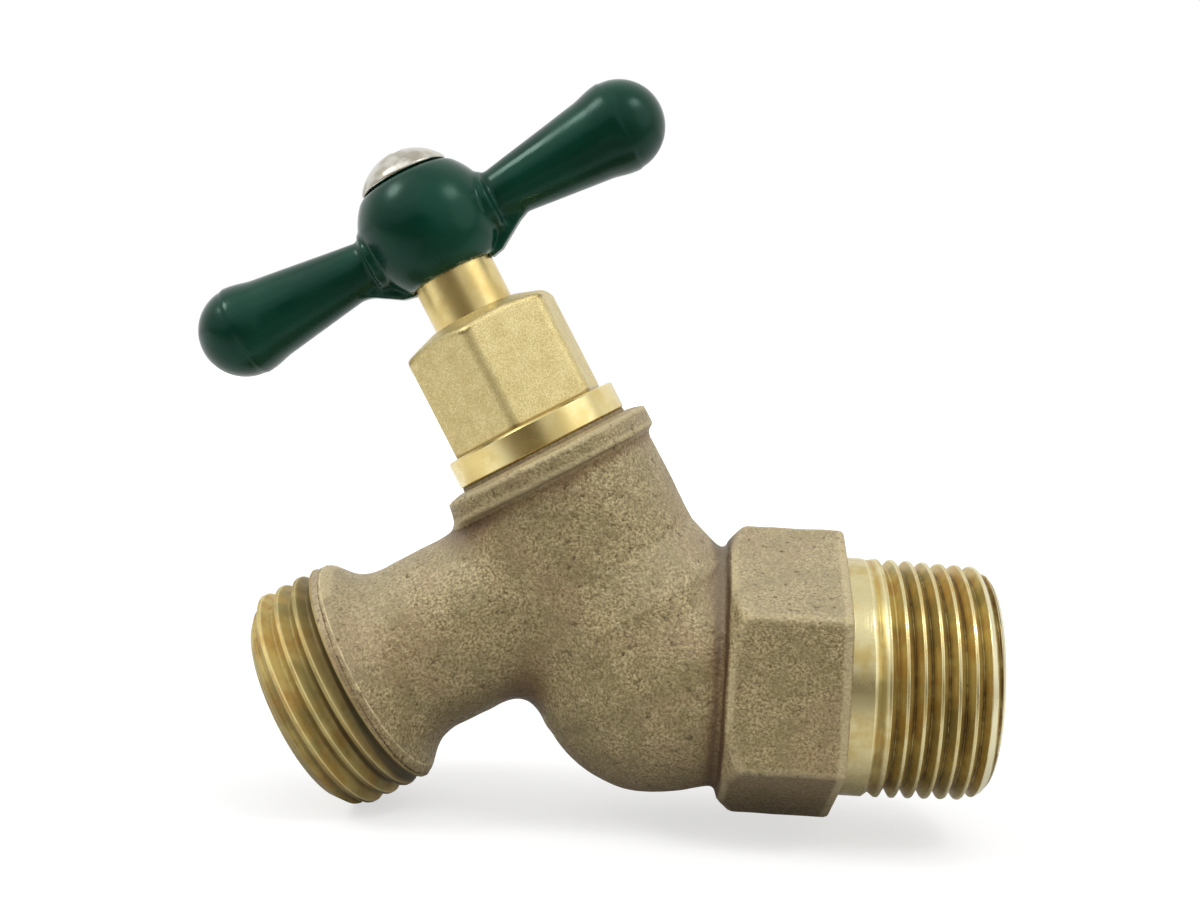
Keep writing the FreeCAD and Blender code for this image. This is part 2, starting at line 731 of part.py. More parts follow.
def make_stem():
    body = new_body("stem")
    foot = "Sizes.stem_foot_radius"
    thread = "Sizes.stem_thread_radius"
    turned(
        body,
        "stem_turning",
        [
            ("0", FOOT_LOW),
            (foot, FOOT_LOW),
            (foot, THREAD_LOW),
            (thread, THREAD_LOW + " + Sizes.stem_bevel"),
            (thread, THREAD_TOP + " - Sizes.stem_bevel"),
            (thread + " - Sizes.stem_bevel", THREAD_TOP),
            ("Sizes.shank_radius", THREAD_TOP),
            ("Sizes.shank_radius", "Sizes.shank_top"),
            ("0", "Sizes.shank_top"),
        ],
    )
    square = outline(
        body,
        "square_end_outline",
        polygon_points("Sizes.square_across", 4, "45"),
        role="XY_Plane",
        raised="Sizes.shank_top",
    )
    padded(body, "square_end", square, "Sizes.square_length")
    square_top = "Sizes.shank_top + Sizes.square_length"
    turned(
        body,
        "screw_hole",
        [
            ("0", square_top + " - Sizes.screw_hole_depth"),
            ("Sizes.screw_radius", square_top + " - Sizes.screw_hole_depth"),
            ("Sizes.screw_radius", square_top),
            ("0", square_top),
        ],
        cut=True,
    )
    clip_low = DISC_TOP + " + Sizes.clip_height - 2 * Sizes.clip_clearance"
    clip_high = DISC_TOP + " + Sizes.clip_height + Sizes.clip_thickness + 2 * Sizes.clip_clearance"
    stub_bore = "Sizes.stub_radius + Sizes.stub_clearance"
    bore_top = DISC_TOP + " + Sizes.stub_length + 4 * Sizes.swivel_play"
    clip_bore = "Sizes.clip_radius + 2 * Sizes.clip_clearance"
    turned(
        body,
        "stub_bore",
        [
            ("0", FOOT_LOW),
            (stub_bore, FOOT_LOW),
            (stub_bore, clip_low),
            (clip_bore, clip_low),
            (clip_bore, clip_high),
            (stub_bore, clip_high),
            (stub_bore, bore_top),
            ("0", bore_top),
        ],
        cut=True,
    )
    return body


def make_disc_holder():
    body = new_body("disc_holder")
    washer_edge = "Sizes.washer_radius + Sizes.washer_clearance"
    clip_low = DISC_TOP + " + Sizes.clip_height - Sizes.clip_clearance"
    clip_high = DISC_TOP + " + Sizes.clip_height + Sizes.clip_thickness + Sizes.clip_clearance"
    stub_top = DISC_TOP + " + Sizes.stub_length"
    turned(
        body,
        "disc_turning",
        [
            ("0", WASHER_TOP),
            (washer_edge, WASHER_TOP),
            (washer_edge, WASHER_TOP + " - Sizes.disc_rim"),
            ("Sizes.disc_radius", WASHER_TOP + " - Sizes.disc_rim"),
            ("Sizes.disc_radius", DISC_TOP + " - Sizes.disc_bevel"),
            ("Sizes.disc_radius - Sizes.disc_bevel", DISC_TOP),
            ("Sizes.stub_radius", DISC_TOP),
            ("Sizes.stub_radius", clip_low),
            ("Sizes.clip_groove_radius", clip_low),
            ("Sizes.clip_groove_radius", clip_high),
            ("Sizes.stub_radius", clip_high),
            ("Sizes.stub_radius", stub_top),
            ("0", stub_top),
        ],
    )
    hole_top = WASHER_LOW + " + Sizes.bibb_screw_length + Sizes.bibb_hole_over"
    turned(
        body,
        "washer_screw_hole",
        [
            ("0", WASHER_TOP),
            ("Sizes.bibb_screw_radius", WASHER_TOP),
            ("Sizes.bibb_screw_radius", hole_top),
            ("0", hole_top),
        ],
        cut=True,
    )
    return body


def make_retaining_ring():
    body = new_body("retaining_ring")
    inner = "Sizes.clip_groove_radius + Sizes.clip_clearance"
    low = DISC_TOP + " + Sizes.clip_height"
    high = low + " + Sizes.clip_thickness"
    turned(
        body,
        "split_ring",
        [(inner, low), ("Sizes.clip_radius", low), ("Sizes.clip_radius", high), (inner, high)],
        angle="360 - Sizes.clip_gap",
    )
    return body


def make_seat_washer():
    body = new_body("seat_washer")
    turned(
        body,
        "washer_disc",
        [
            ("Sizes.bibb_screw_radius", WASHER_LOW),
            ("Sizes.washer_radius", WASHER_LOW),
            ("Sizes.washer_radius", WASHER_TOP),
            ("Sizes.bibb_screw_radius", WASHER_TOP),
        ],
    )
    return body


def make_washer_screw():
    body = new_body("washer_screw")
    head_low = WASHER_LOW + " - Sizes.bibb_head_height"
    screw_top = WASHER_LOW + " + Sizes.bibb_screw_length"
    turned(
        body,
        "screw_turning",
        [
            ("0", head_low),
            ("Sizes.bibb_head_radius * 0.8", head_low),
            ("Sizes.bibb_head_radius", head_low + " + Sizes.bibb_head_height / 3"),
            ("Sizes.bibb_head_radius", WASHER_LOW),
            ("Sizes.bibb_screw_radius", WASHER_LOW),
            ("Sizes.bibb_screw_radius", screw_top),
            ("0", screw_top),
        ],
    )
    slot = outline(
        body,
        "screw_slot_outline",
        [
            ("-Sizes.bibb_head_radius", "-Sizes.bibb_slot_width / 2"),
            ("Sizes.bibb_head_radius", "-Sizes.bibb_slot_width / 2"),
            ("Sizes.bibb_head_radius", "Sizes.bibb_slot_width / 2"),
            ("-Sizes.bibb_head_radius", "Sizes.bibb_slot_width / 2"),
        ],
        role="XY_Plane",
        raised=head_low,
    )
    padded(body, "screw_slot", slot, "Sizes.bibb_slot_depth", cut=True)
    return body


# Handle and its screw


def make_handle():
    body = new_body("handle")
    ball(
        body,
        "hub_ball",
        "Sizes.hub_radius",
        "Sizes.hub_height",
        low="-asin(Sizes.hub_below / Sizes.hub_radius)",
        high="asin(Sizes.hub_above / Sizes.hub_radius)",
    )
    arm_frame = ("Sizes.arm_rise - 90", "0", "Sizes.hub_height - Sizes.arm_drop")
    arm = turned(
        body,
        "arm",
        [
            ("0", "Sizes.arm_start"),
            ("Sizes.arm_skirt_radius", "Sizes.arm_start"),
            ("Sizes.arm_skirt_radius", "2 * Sizes.arm_root - Sizes.hub_radius - 0.4"),
            ("Sizes.arm_root_radius", "Sizes.arm_root"),
            ("Sizes.arm_tip_radius", "Sizes.arm_tip - Sizes.arm_tip_straight"),
            ("Sizes.arm_tip_radius", "Sizes.arm_tip"),
            ("0", "Sizes.arm_tip"),
        ],
        frame=arm_frame,
    )
    web_top = "Sizes.hub_height - Sizes.arm_drop"
    web = outline(
        body,
        "web_outline",
        [
            ("Sizes.arm_start", web_top),
            ("Sizes.web_reach", web_top),
            ("Sizes.web_reach", web_top + " - Sizes.arm_root_radius"),
            ("Sizes.web_foot", web_top + " - Sizes.web_depth"),
            ("Sizes.arm_start", web_top + " - Sizes.web_depth"),
        ],
    )
    web_pad = padded(body, "web", web, "Sizes.web_thickness", midplane=True)
    mirror = body.newObject("PartDesign::Mirrored", "other_arm")
    mirror.Originals = [arm, web_pad]
    mirror.MirrorPlane = (plane_of(body, "YZ_Plane"), [""])
    body.Tip = mirror
    doc.recompute()

    def tip_edge(edge):
        curve = edge.Curve
        if not isinstance(curve, Part.Circle):
            return False
        far = abs(curve.Center.x) > value("Sizes.arm_tip") - value("Sizes.arm_tip_straight") / 2
        return far and abs(curve.Radius - value("Sizes.arm_tip_radius")) < 1e-4

    dressed(body, "PartDesign::Fillet", "arm_ends", tip_edge, "Sizes.arm_tip_rounding")
    square = outline(
        body,
        "square_hole_outline",
        polygon_points("(Sizes.square_across + 2 * Sizes.square_clearance)", 4, "45"),
        role="XY_Plane",
        raised="Sizes.hub_height - Sizes.hub_below",
    )
    padded(body, "square_hole", square, "Sizes.hub_below + Sizes.hub_above", cut=True)
    hub_low = "Sizes.hub_height - Sizes.hub_below"
    turned(
        body,
        "shank_counterbore",
        [
            ("0", hub_low),
            ("Sizes.hub_counterbore", hub_low),
            ("Sizes.hub_counterbore", "Sizes.shank_top"),
            ("0", "Sizes.shank_top"),
        ],
        cut=True,
    )
    return body


def make_handle_screw():
    body = new_body("handle_screw")
    dome = "(Sizes.head_radius ^ 2 + Sizes.head_height ^ 2) / (2 * Sizes.head_height)"
    dome_centre = f"{HEAD_SEAT} + Sizes.head_height - {dome}"
    ball(
        body,
        "truss_head",
        dome,
        dome_centre,
        low=f"asin(({dome} - Sizes.head_height) / ({dome}))",
    )
    turned(
        body,
        "screw_shank",
        [
            ("0", HEAD_SEAT + " - Sizes.screw_length"),
            ("Sizes.screw_radius", HEAD_SEAT + " - Sizes.screw_length"),
            ("Sizes.screw_radius", HEAD_SEAT + " + Sizes.head_height / 4"),
            ("0", HEAD_SEAT + " + Sizes.head_height / 4"),
        ],
    )
    half = "Sizes.recess_width / 2"
    reach = "Sizes.recess_reach"
    corners = [
        (half, half),
        (reach, half),
        (reach, "-" + half),
        (half, "-" + half),
        (half, "-" + reach),
        ("-" + half, "-" + reach),
        ("-" + half, "-" + half),
        ("-" + reach, "-" + half),
        ("-" + reach, half),
        ("-" + half, half),
        ("-" + half, reach),
        (half, reach),
    ]
    cross = outline(
        body,
        "cross_recess_outline",
        corners,
        role="XY_Plane",
        raised=HEAD_SEAT + " + Sizes.head_height - Sizes.recess_depth",
    )
    padded(body, "cross_recess", cross, "Sizes.recess_depth + 1", cut=True)
    return body


def check_document():
    """Stops if anything in the document failed to build."""
    for item in doc.Objects:
        if {"Invalid", "Error"} & set(item.State):
            raise RuntimeError(f"{item.Name} failed: {item.State}")


def export(body):
    """Writes one piece to its own file."""
    shape = body.Shape
    if shape.isNull() or not shape.isValid() or len(shape.Solids) != 1:
        raise RuntimeError(f"{body.Label} is not one valid solid")
    shape.exportStep(f"parts/{body.Label}.step")
    print(body.Label, round(shape.Volume, 2), "mm3")


pieces = [
    make_valve_body(),
    make_bonnet(),
    make_gasket(),
    make_stem_ring("stem_o_ring_lower", RING_LOWER),
    make_stem_ring("stem_o_ring_upper", RING_UPPER),
    make_stem(),
    make_disc_holder(),
    make_retaining_ring(),
    make_seat_washer(),
    make_washer_screw(),
    make_handle(),
    make_handle_screw(),
]
doc.recompute()
check_document()
for piece in pieces:
    export(piece)
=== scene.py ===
import json
import math

import bpy
import numpy as np
from mathutils import Matrix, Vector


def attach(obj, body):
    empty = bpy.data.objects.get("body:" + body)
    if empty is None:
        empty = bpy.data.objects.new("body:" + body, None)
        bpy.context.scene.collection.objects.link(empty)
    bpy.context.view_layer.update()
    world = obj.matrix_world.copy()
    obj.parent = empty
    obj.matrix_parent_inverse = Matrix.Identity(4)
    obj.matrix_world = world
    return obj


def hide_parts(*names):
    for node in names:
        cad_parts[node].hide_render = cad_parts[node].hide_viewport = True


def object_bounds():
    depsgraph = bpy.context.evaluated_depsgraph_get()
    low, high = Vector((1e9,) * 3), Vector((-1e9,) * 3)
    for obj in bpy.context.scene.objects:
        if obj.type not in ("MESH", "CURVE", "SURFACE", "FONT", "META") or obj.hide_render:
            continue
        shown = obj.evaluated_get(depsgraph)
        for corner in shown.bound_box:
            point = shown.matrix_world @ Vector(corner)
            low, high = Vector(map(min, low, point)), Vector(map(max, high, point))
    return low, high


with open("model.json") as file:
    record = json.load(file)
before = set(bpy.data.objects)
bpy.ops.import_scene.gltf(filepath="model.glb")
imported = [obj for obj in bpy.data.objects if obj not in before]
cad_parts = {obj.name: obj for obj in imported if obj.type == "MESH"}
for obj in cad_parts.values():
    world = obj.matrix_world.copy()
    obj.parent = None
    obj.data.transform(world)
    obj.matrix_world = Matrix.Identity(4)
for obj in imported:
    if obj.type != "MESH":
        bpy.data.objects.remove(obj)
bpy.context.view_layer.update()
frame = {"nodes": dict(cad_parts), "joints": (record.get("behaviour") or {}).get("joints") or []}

# Looks of the hose bibb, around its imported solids. Shapes are worked out in millimetres and meshed in metres.
# A shape is a field: a function that gives each point's distance from the surface, negative inside.
# A profile is a list of (radius, place along the axis), which turns into a round shape.

MM = 0.001
FAR = 60.0
JOINTS = {joint["name"]: joint for joint in frame["joints"]}
STEM = np.array(JOINTS["stem_lift"]["axis"], float)
STEM /= np.linalg.norm(STEM)
CROSSING = np.array(JOINTS["handle_turn"]["pos_m"], float) / MM
INLET = np.array([1.0, 0.0, 0.0])
SIDE = np.array([0.0, 1.0, 0.0])
ARMS = np.cross(SIDE, STEM)
OUTLET_DROP = math.radians(30)
OUTLET = np.array([-math.cos(OUTLET_DROP), 0.0, -math.sin(OUTLET_DROP)])
OUTLET_HEIGHT, BULB_DROP = 13.9, 0.9
OUTLET_START = CROSSING + OUTLET_HEIGHT * STEM
BULB_CENTRE = CROSSING - np.array([0.0, 0.0, BULB_DROP])


# Camera, fitted to the photograph

CAMERA_PLACE = CROSSING + np.array([-0.78, -172.13, 31.9])
CAMERA_YAW, CAMERA_PITCH, CAMERA_ROLL = 2.19, -2.57, -2.84
CAMERA_LENS, CAMERA_SENSOR = 45.45, 36.0
CAMERA_CLIP = 0.01


def turn_about(axis, degrees):
    """Rotation matrix about X, Y or Z."""
    return np.array(Matrix.Rotation(math.radians(degrees), 3, axis))


def make_camera():
    """Camera at the photograph's viewing angle."""
    turn = turn_about("Z", CAMERA_YAW) @ turn_about("X", CAMERA_PITCH) @ turn_about("Y", CAMERA_ROLL)
    right, forward, up = turn.T
    pose = np.eye(4)
    pose[:3, 0] = right
    pose[:3, 1] = up
    pose[:3, 2] = -forward
    pose[:3, 3] = CAMERA_PLACE * MM
    data = bpy.data.cameras.new("camera")
    data.lens = CAMERA_LENS
    data.sensor_width = CAMERA_SENSOR
    data.clip_start = CAMERA_CLIP
    camera = bpy.data.objects.new("camera", data)
    bpy.context.scene.collection.objects.link(camera)
    camera.matrix_world = Matrix(pose.tolist())
    bpy.context.scene.camera = camera


# Fields

def along_and_away(points, start, axis):
    """Each point's place along an axis, and its distance from it."""
    offset = points - start
    along = offset @ axis
    away = np.sqrt(np.maximum((offset**2).sum(-1) - along**2, 0))
    return along, away


def height_of(points):
    """How far each point lies up the stem from the inlet's axis."""
    return (points - CROSSING) @ STEM


def outline_field(across, up, outline):
    """Distance to a closed outline of straight lines in a plane."""
    nearest = np.full(across.shape, np.inf)
    inside = np.zeros(across.shape, bool)
    for (x0, y0), (x1, y1) in zip(outline, outline[1:] + outline[:1]):
        dx, dy = x1 - x0, y1 - y0
        share = np.clip(((across - x0) * dx + (up - y0) * dy) / (dx * dx + dy * dy), 0, 1)
        gap = (across - x0 - share * dx) ** 2 + (up - y0 - share * dy) ** 2
        nearest = np.minimum(nearest, gap)
        if dy:
            inside ^= ((y0 > up) != (y1 > up)) & (across < x0 + (up - y0) * dx / dy)
    return np.where(inside, -1, 1) * np.sqrt(nearest)


def turned_field(points, start, axis, profile):
    """Distance to a turned solid. Its profile is closed well past the axis."""
    along, away = along_and_away(points, start, axis)
    closed = [(-FAR, profile[0][1])] + profile + [(-FAR, profile[-1][1])]
    return outline_field(away, along, closed)


def round_stem(points, profile):
    """A solid turned about the stem."""
    return turned_field(points, CROSSING, STEM, profile)


def round_inlet(points, profile):
    """A solid turned about the inlet's axis."""
    return turned_field(points, CROSSING, INLET, profile)


def round_outlet(points, profile):
    """A solid turned about the outlet's axis."""
    return turned_field(points, OUTLET_START, OUTLET, profile)


def ball_field(points, centre, radius):
    """Distance to a ball."""
    return np.sqrt(((points - centre) ** 2).sum(-1)) - radius


def merged(first, second, width):
    """Union of two fields with a fillet about as wide as stated."""
    near = np.clip(1 - np.abs(first - second) / width, 0, 1)
    return np.minimum(first, second) - near * near * width / 4


def common(first, second, width):
    """What two fields share, with edges rounded about as wide as stated."""
    return -merged(-first, -second, width)


def hexagon_field(points, axis, first_face, across_flats, rounding):
    """Distance to an endless hexagonal bar through the crossing, with rounded edges."""
    offset = points - CROSSING
    field = np.full(points.shape[0], -FAR)
    other = np.cross(axis, first_face)
    for side in range(6):
        angle = 2 * math.pi * side / 6
        normal = math.cos(angle) * first_face + math.sin(angle) * other
        field = common(field, offset @ normal - across_flats / 2, rounding)
    return field


# Meshes

CORNERS = np.array([[i, j, k] for i in (0, 1) for j in (0, 1) for k in (0, 1)])
CELL_EDGES = [
    (a, b) for a in range(8) for b in range(a + 1, 8) if np.abs(CORNERS[a] - CORNERS[b]).sum() == 1
]
SETTLING_ROUNDS = 3
GRADIENT_REACH = 0.05


def sampled(field, low, step, counts):
    """The field on a regular grid, one layer at a time."""
    across, up = np.meshgrid(np.arange(counts[1]), np.arange(counts[2]), indexing="ij")
    layer = np.stack([np.zeros(across.size), across.ravel(), up.ravel()], 1) * step + low
    values = np.empty(counts, np.float32)
    for index in range(counts[0]):
        layer[:, 0] = low[0] + step * index
        values[index] = field(layer).reshape(counts[1:])
    return values


def gradient(field, points):
    """Unit vectors along which the field grows fastest."""
    ways = GRADIENT_REACH * np.eye(3)
    slope = np.stack([field(points + way) - field(points - way) for way in ways], 1)
    return slope / np.maximum(np.linalg.norm(slope, axis=1, keepdims=True), 1e-9)


def surface_spots(values, cells):
    """One point for each cell that the surface runs through, counted in cells."""
    total = np.zeros((len(cells), 3))
    crossings = np.zeros((len(cells), 1))
    corner_values = [values[tuple((cells + corner).T)] for corner in CORNERS]
    for a, b in CELL_EDGES:
        crossed = (corner_values[a] < 0) != (corner_values[b] < 0)
        span = np.where(crossed, corner_values[a] - corner_values[b], 1)
        share = np.where(crossed, corner_values[a] / span, 0)[:, None]
        spot = CORNERS[a] + share * (CORNERS[b] - CORNERS[a])
        total += spot * crossed[:, None]
        crossings += crossed[:, None]
    return cells + total / crossings


def surface_faces(solid, number):
    """A four-sided face round each grid edge that the surface crosses, from the numbers of the cells."""
    faces = []
    for axis in range(3):
        ahead = [slice(None)] * 3
        behind = [slice(None)] * 3
        ahead[axis], behind[axis] = slice(1, None), slice(None, -1)
        starts, ends = solid[tuple(behind)], solid[tuple(ahead)]
        for leaving in (True, False):
            edges = np.argwhere((starts & ~ends) if leaving else (~starts & ends))
            one, two = np.eye(3, dtype=int)[(axis + 1) % 3], np.eye(3, dtype=int)[(axis + 2) % 3]
            ring = [edges - one - two, edges - two, edges, edges - one]
            quads = np.stack([number[tuple(spot.T)] for spot in ring], 1)
            faces.append(quads if leaving else quads[:, ::-1])
    return np.concatenate(faces)


def field_surface(field, low, high, step):
    """Points and four-sided faces of the surface where the field is zero."""
    low = np.array(low, float)
    counts = np.ceil((np.array(high) - low) / step).astype(int) + 1
    values = sampled(field, low, step, counts)
    solid = values < 0
    filled = np.zeros(counts - 1, np.int8)
    for i, j, k in CORNERS:
        filled += solid[i : counts[0] - 1 + i, j : counts[1] - 1 + j, k : counts[2] - 1 + k]
    cells = np.argwhere((filled > 0) & (filled < 8))
    number = np.full(counts - 1, -1, np.int64)
    number[tuple(cells.T)] = np.arange(len(cells))
    points = low + step * surface_spots(values, cells)
    for _ in range(SETTLING_ROUNDS):
        push = np.clip(field(points), -step / 2, step / 2)[:, None]
        points = points - push * gradient(field, points)
    return points, surface_faces(solid, number)


def surface_around(field, middle, reach, step):
    """A field's surface in a box around a middle."""
    return field_surface(field, middle - reach, middle + reach, step)


def lathe_grid(start, axis, across, radii, places, inner):
    """A turned sleeve: radii is places by angles, and the inner wall closes it. Returns points and faces."""
    rows, steps = radii.shape
    angles = 2 * math.pi * np.arange(steps) / steps
    other = np.cross(axis, across)
    spokes = np.cos(angles)[:, None] * across + np.sin(angles)[:, None] * other
    outside = start + places[:, None, None] * axis + radii[:, :, None] * spokes
    closing = [(places[-1], inner), (places[0], inner)]
    walls = [start + place * axis + radius * spokes for place, radius in closing]
    points = np.concatenate([outside.reshape(-1, 3)] + walls)
    ring = np.arange(rows + len(walls))[:, None] * steps
    turn = np.arange(steps)[None, :]
    after = (turn + 1) % steps
    next_ring = np.roll(ring, -1, axis=0)
    quads = np.stack([ring + turn, ring + after, next_ring + after, next_ring + turn], -1)
    return points, quads.reshape(-1, 4)


def mesh_object(name, points, faces, body, material, attributes=None):
    """A smooth mesh object from points in millimetres, riding on a body."""
    mesh = bpy.data.meshes.new(name)
    mesh.vertices.add(len(points))
    mesh.vertices.foreach_set("co", (points * MM).astype(np.float32).ravel())
    mesh.loops.add(faces.size)
    mesh.loops.foreach_set("vertex_index", faces.astype(np.int32).ravel())
    mesh.polygons.add(len(faces))
    mesh.polygons.foreach_set("loop_start", np.arange(0, faces.size, faces.shape[1], dtype=np.int32))
    mesh.polygons.foreach_set("use_smooth", np.ones(len(faces), bool))
    for label, values in (attributes or {}).items():
        layer = mesh.attributes.new(label, "FLOAT", "POINT")
        layer.data.foreach_set("value", values.astype(np.float32))
    mesh.update(calc_edges=True)
    mesh.validate()
    piece = bpy.data.objects.new(name, mesh)
    bpy.context.scene.collection.objects.link(piece)
    mesh.materials.append(material)
    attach(piece, body)
    return piece


def round_edges(piece, width):
    """Rounds a piece's sharp edges and keeps its flats flat."""
    bevel = piece.modifiers.new("edges", "BEVEL")
    bevel.width = width * MM
    bevel.segments = 2
    bevel.limit_method = "ANGLE"
    bevel.angle_limit = math.radians(25)
    bevel.harden_normals = True


LATTICE_SIZE = 32
LATTICE = np.random.RandomState(7).uniform(-1, 1, (LATTICE_SIZE, LATTICE_SIZE, LATTICE_SIZE))


def unevenness(points, size):
    """Smooth random values from -1 to 1, in lumps of about this size."""
    spots = points / size
    base = np.floor(spots).astype(int)
    share = spots - base
    share = share * share * (3 - 2 * share)
    total = np.zeros(len(points))
    for corner in CORNERS:
        weight = np.where(corner, share, 1 - share).prod(1)
        total += weight * LATTICE[tuple(((base + corner) % LATTICE_SIZE).T)]
    return total


def recess_of(field, points, normals, reaches):
    """How enclosed each point is, from 0 in the open to 1 in a deep corner."""
    shut = [1 - np.clip(field(points + reach * normals) / reach, 0, 1) for reach in reaches]
    return np.mean(shut, axis=0)


def edge_of(field, points, normals, reach):
    """How sharply each point stands out, from 0 on a flat to 1 on a thin edge."""
    return np.clip(1 + field(points - reach * normals) / reach, 0, 1)


# Casting

INLET_REACH, OUTLET_REACH = 37.3, 38.3
FACE_HEIGHT = 27.35
RIM_END = 28.9
BULB_RADIUS = 13.4
BOSS = [(13.2, 0), (13.1, 7.5), (11.5, 13.0), (11.5, 26.0)]
BAND = [(12.35, 24.6), (12.4, 26.85), (10.7, FACE_HEIGHT)]
SPOUT = [(9.95, 0), (9.95, 27.0)]
RIM = [(9.2, 24.8), (12.8, 28.0), (13.2, 28.5), (13.2, RIM_END)]
HEX_START, HEX_END, HEX_ACROSS = 7.6, 20.8, 28.75
HEX_CHAMFERS = [
    (13.8, HEX_START),
    (14.5, HEX_START + 0.2),
    (16.8, HEX_START + 2.0),
    (16.8, HEX_END - 0.1),
    (13.8, HEX_END),
]
NECK = [(13.1, 0), (13.1, HEX_START + 1)]
HEX_ROUNDING, CHAMFER_ROUNDING = 0.5, 0.6
BOSS_FILLET, NECK_FILLET, HEX_FILLET, BAND_FILLET = 2.0, 1.4, 1.0, 1.4
RIM_FILLET, SPOUT_FILLET = 1.8, 4.0

INLET_BORE = [(8.9, 3.8), (8.9, FAR)]
LOW_CHAMBER_RADIUS = 10.2
CHAMBER = [(9.0, 6.9), (9.0, 20.3), (9.56, 20.3), (9.56, 40)]
SEAT = [(9.8, 4.8), (9.8, 6.9), (7.2, 6.9), (7.2, 7.4), (6.7, 7.8)]
SEAT_OPENING = [(5.6, 3.0), (5.6, 7.35), (6.1, 7.9)]
OUTLET_BORE = [(6.0, 1.5), (6.0, 24.0), (9.2, 28.0), (9.2, FAR)]
CHAMBER_FILLET = 1.0

CASTING_STEP = 0.32
CASTING_LOW = CROSSING + np.array([-39.5, -17.2, -18.0])
CASTING_HIGH = CROSSING + np.array([22.0, 17.2, 31.0])
SKIN_THICKNESS, MACHINED_MARGIN, FACE_MARGIN = 0.2, 0.1, 0.15
LARGE_LUMPS, SMALL_LUMPS = (0.06, 3.1), (0.035, 1.3)
SMALL_LUMP_SHIFT = 40
CORNER_REACHES, EDGE_REACH = (0.8, 2.0, 4.0), 0.9
RIM_DIRT, RIM_DIRT_START, RIM_DIRT_FADE = 0.13, 27.5, 0.8
BAND_START, BAND_WEAR_AND_HIGHLIGHT, HEX_WEAR_AND_HIGHLIGHT_START = 24.0, 0.45, HEX_START + 0.3


def casting_outside(points):
    """Rough outside of the casting."""
    inlet_hex = hexagon_field(points, INLET, SIDE, HEX_ACROSS, HEX_ROUNDING)
    inlet_hex = common(inlet_hex, round_inlet(points, HEX_CHAMFERS), CHAMFER_ROUNDING)
    spout = merged(round_outlet(points, SPOUT), round_outlet(points, RIM), RIM_FILLET)
    core = merged(ball_field(points, BULB_CENTRE, BULB_RADIUS), round_stem(points, BOSS), BOSS_FILLET)
    core = merged(core, round_inlet(points, NECK), NECK_FILLET)
    core = merged(core, spout, SPOUT_FILLET)
    core = merged(core, inlet_hex, HEX_FILLET)
    return merged(core, round_stem(points, BAND), BAND_FILLET)


def waterway(points):
    """Bores and chambers, with the seat wall left standing."""
    seat = round_stem(points, SEAT)
    low_chamber = ball_field(points, BULB_CENTRE, LOW_CHAMBER_RADIUS)
    below = np.maximum(np.minimum(round_inlet(points, INLET_BORE), low_chamber), -seat)
    chamber = round_stem(points, CHAMBER)
    outlet = merged(round_outlet(points, OUTLET_BORE), chamber, CHAMBER_FILLET)
    above = np.maximum(np.minimum(chamber, outlet), -seat)
    return np.minimum(np.minimum(below, above), round_stem(points, SEAT_OPENING))


def casting(points):
    """The casting with its waterways."""
    return np.maximum(casting_outside(points), -waterway(points))


def lump_heights(points):
    """How far the sand left the skin in or out."""
    height, size = LARGE_LUMPS
    lumps = height * unevenness(points, size)
    height, size = SMALL_LUMPS
    return lumps + height * unevenness(points + SMALL_LUMP_SHIFT, size)


def make_casting(material):
    """The rough casting, from the seat face down to both threads."""
    points, faces = field_surface(casting, CASTING_LOW, CASTING_HIGH, CASTING_STEP)
    normals = gradient(casting_outside, points)
    height = height_of(points)
    along_outlet = (points - OUTLET_START) @ OUTLET
    along_inlet = (points - CROSSING) @ INLET
    machined = height > FACE_HEIGHT - FACE_MARGIN
    machined |= along_outlet > RIM_END - MACHINED_MARGIN
    machined |= along_inlet > HEX_END - MACHINED_MARGIN
    rough = np.clip(1 - np.abs(casting_outside(points)) / SKIN_THICKNESS, 0, 1) * ~machined
    # How enclosed each point is, where the material lays painted shade with brown dirt; dirt towards the rim is
    # added to it
    recess = recess_of(casting_outside, points, normals, CORNER_REACHES)
    recess += RIM_DIRT * np.clip((along_outlet - RIM_DIRT_START) / RIM_DIRT_FADE, 0, 1)
    edge = edge_of(casting_outside, points, normals, EDGE_REACH)
    # Edges of the hex and the band: worn metal, painted lighter as a highlight along them
    edge = edge * ((along_inlet > HEX_WEAR_AND_HIGHLIGHT_START) + BAND_WEAR_AND_HIGHLIGHT * (height > BAND_START))
    moved = points + normals * (lump_heights(points) * rough)[:, None]
    marks = {"recess": recess * rough, "edge": edge * rough}
    piece = mesh_object("valve_body_casting", moved, faces, "valve", material, marks)
    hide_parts("valve_body")


# Male threads

FLANK = math.tan(math.radians(30))
PIPE_FIRST, PIPE_PITCH, PIPE_CREST, PIPE_DEPTH, PIPE_FADE = 23.2, 1.8143, 0.26, 1.2, 1.6
HOSE_FIRST, HOSE_PITCH, HOSE_CREST, HOSE_DEPTH, HOSE_FADE = RIM_END + 0.3, 2.2087, 0.34, 1.05, 0.6
THREAD_SIDES, THREAD_STEP = ((288, 0.07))
THREAD_OVERLAP, END_MARGIN = 0.05, 0.001
PIPE_END_RADIUS, PIPE_TAPER, LAND_RADIUS = 13.02, 1 / 32, 13.36
PIPE_LIP, PIPE_LIP_SLOPE = 11.6, 1.15
PIPE_CHAMFER, PIPE_CHAMFER_SLOPE = 11.95, 0.62
HOSE_RADIUS, HOSE_LIP, HOSE_LIP_SLOPE = 13.42, 11.5, 1.1
INLET_BORE_RADIUS, OUTLET_BORE_RADIUS = 8.9, 9.2
SKIN_FADE, SKIN_STEP, SKIN_DEPTH_LIMIT = 0.2, 0.2, 0.05
OLD_MIDDLE, OLD_REACH = 0.6, 4.0


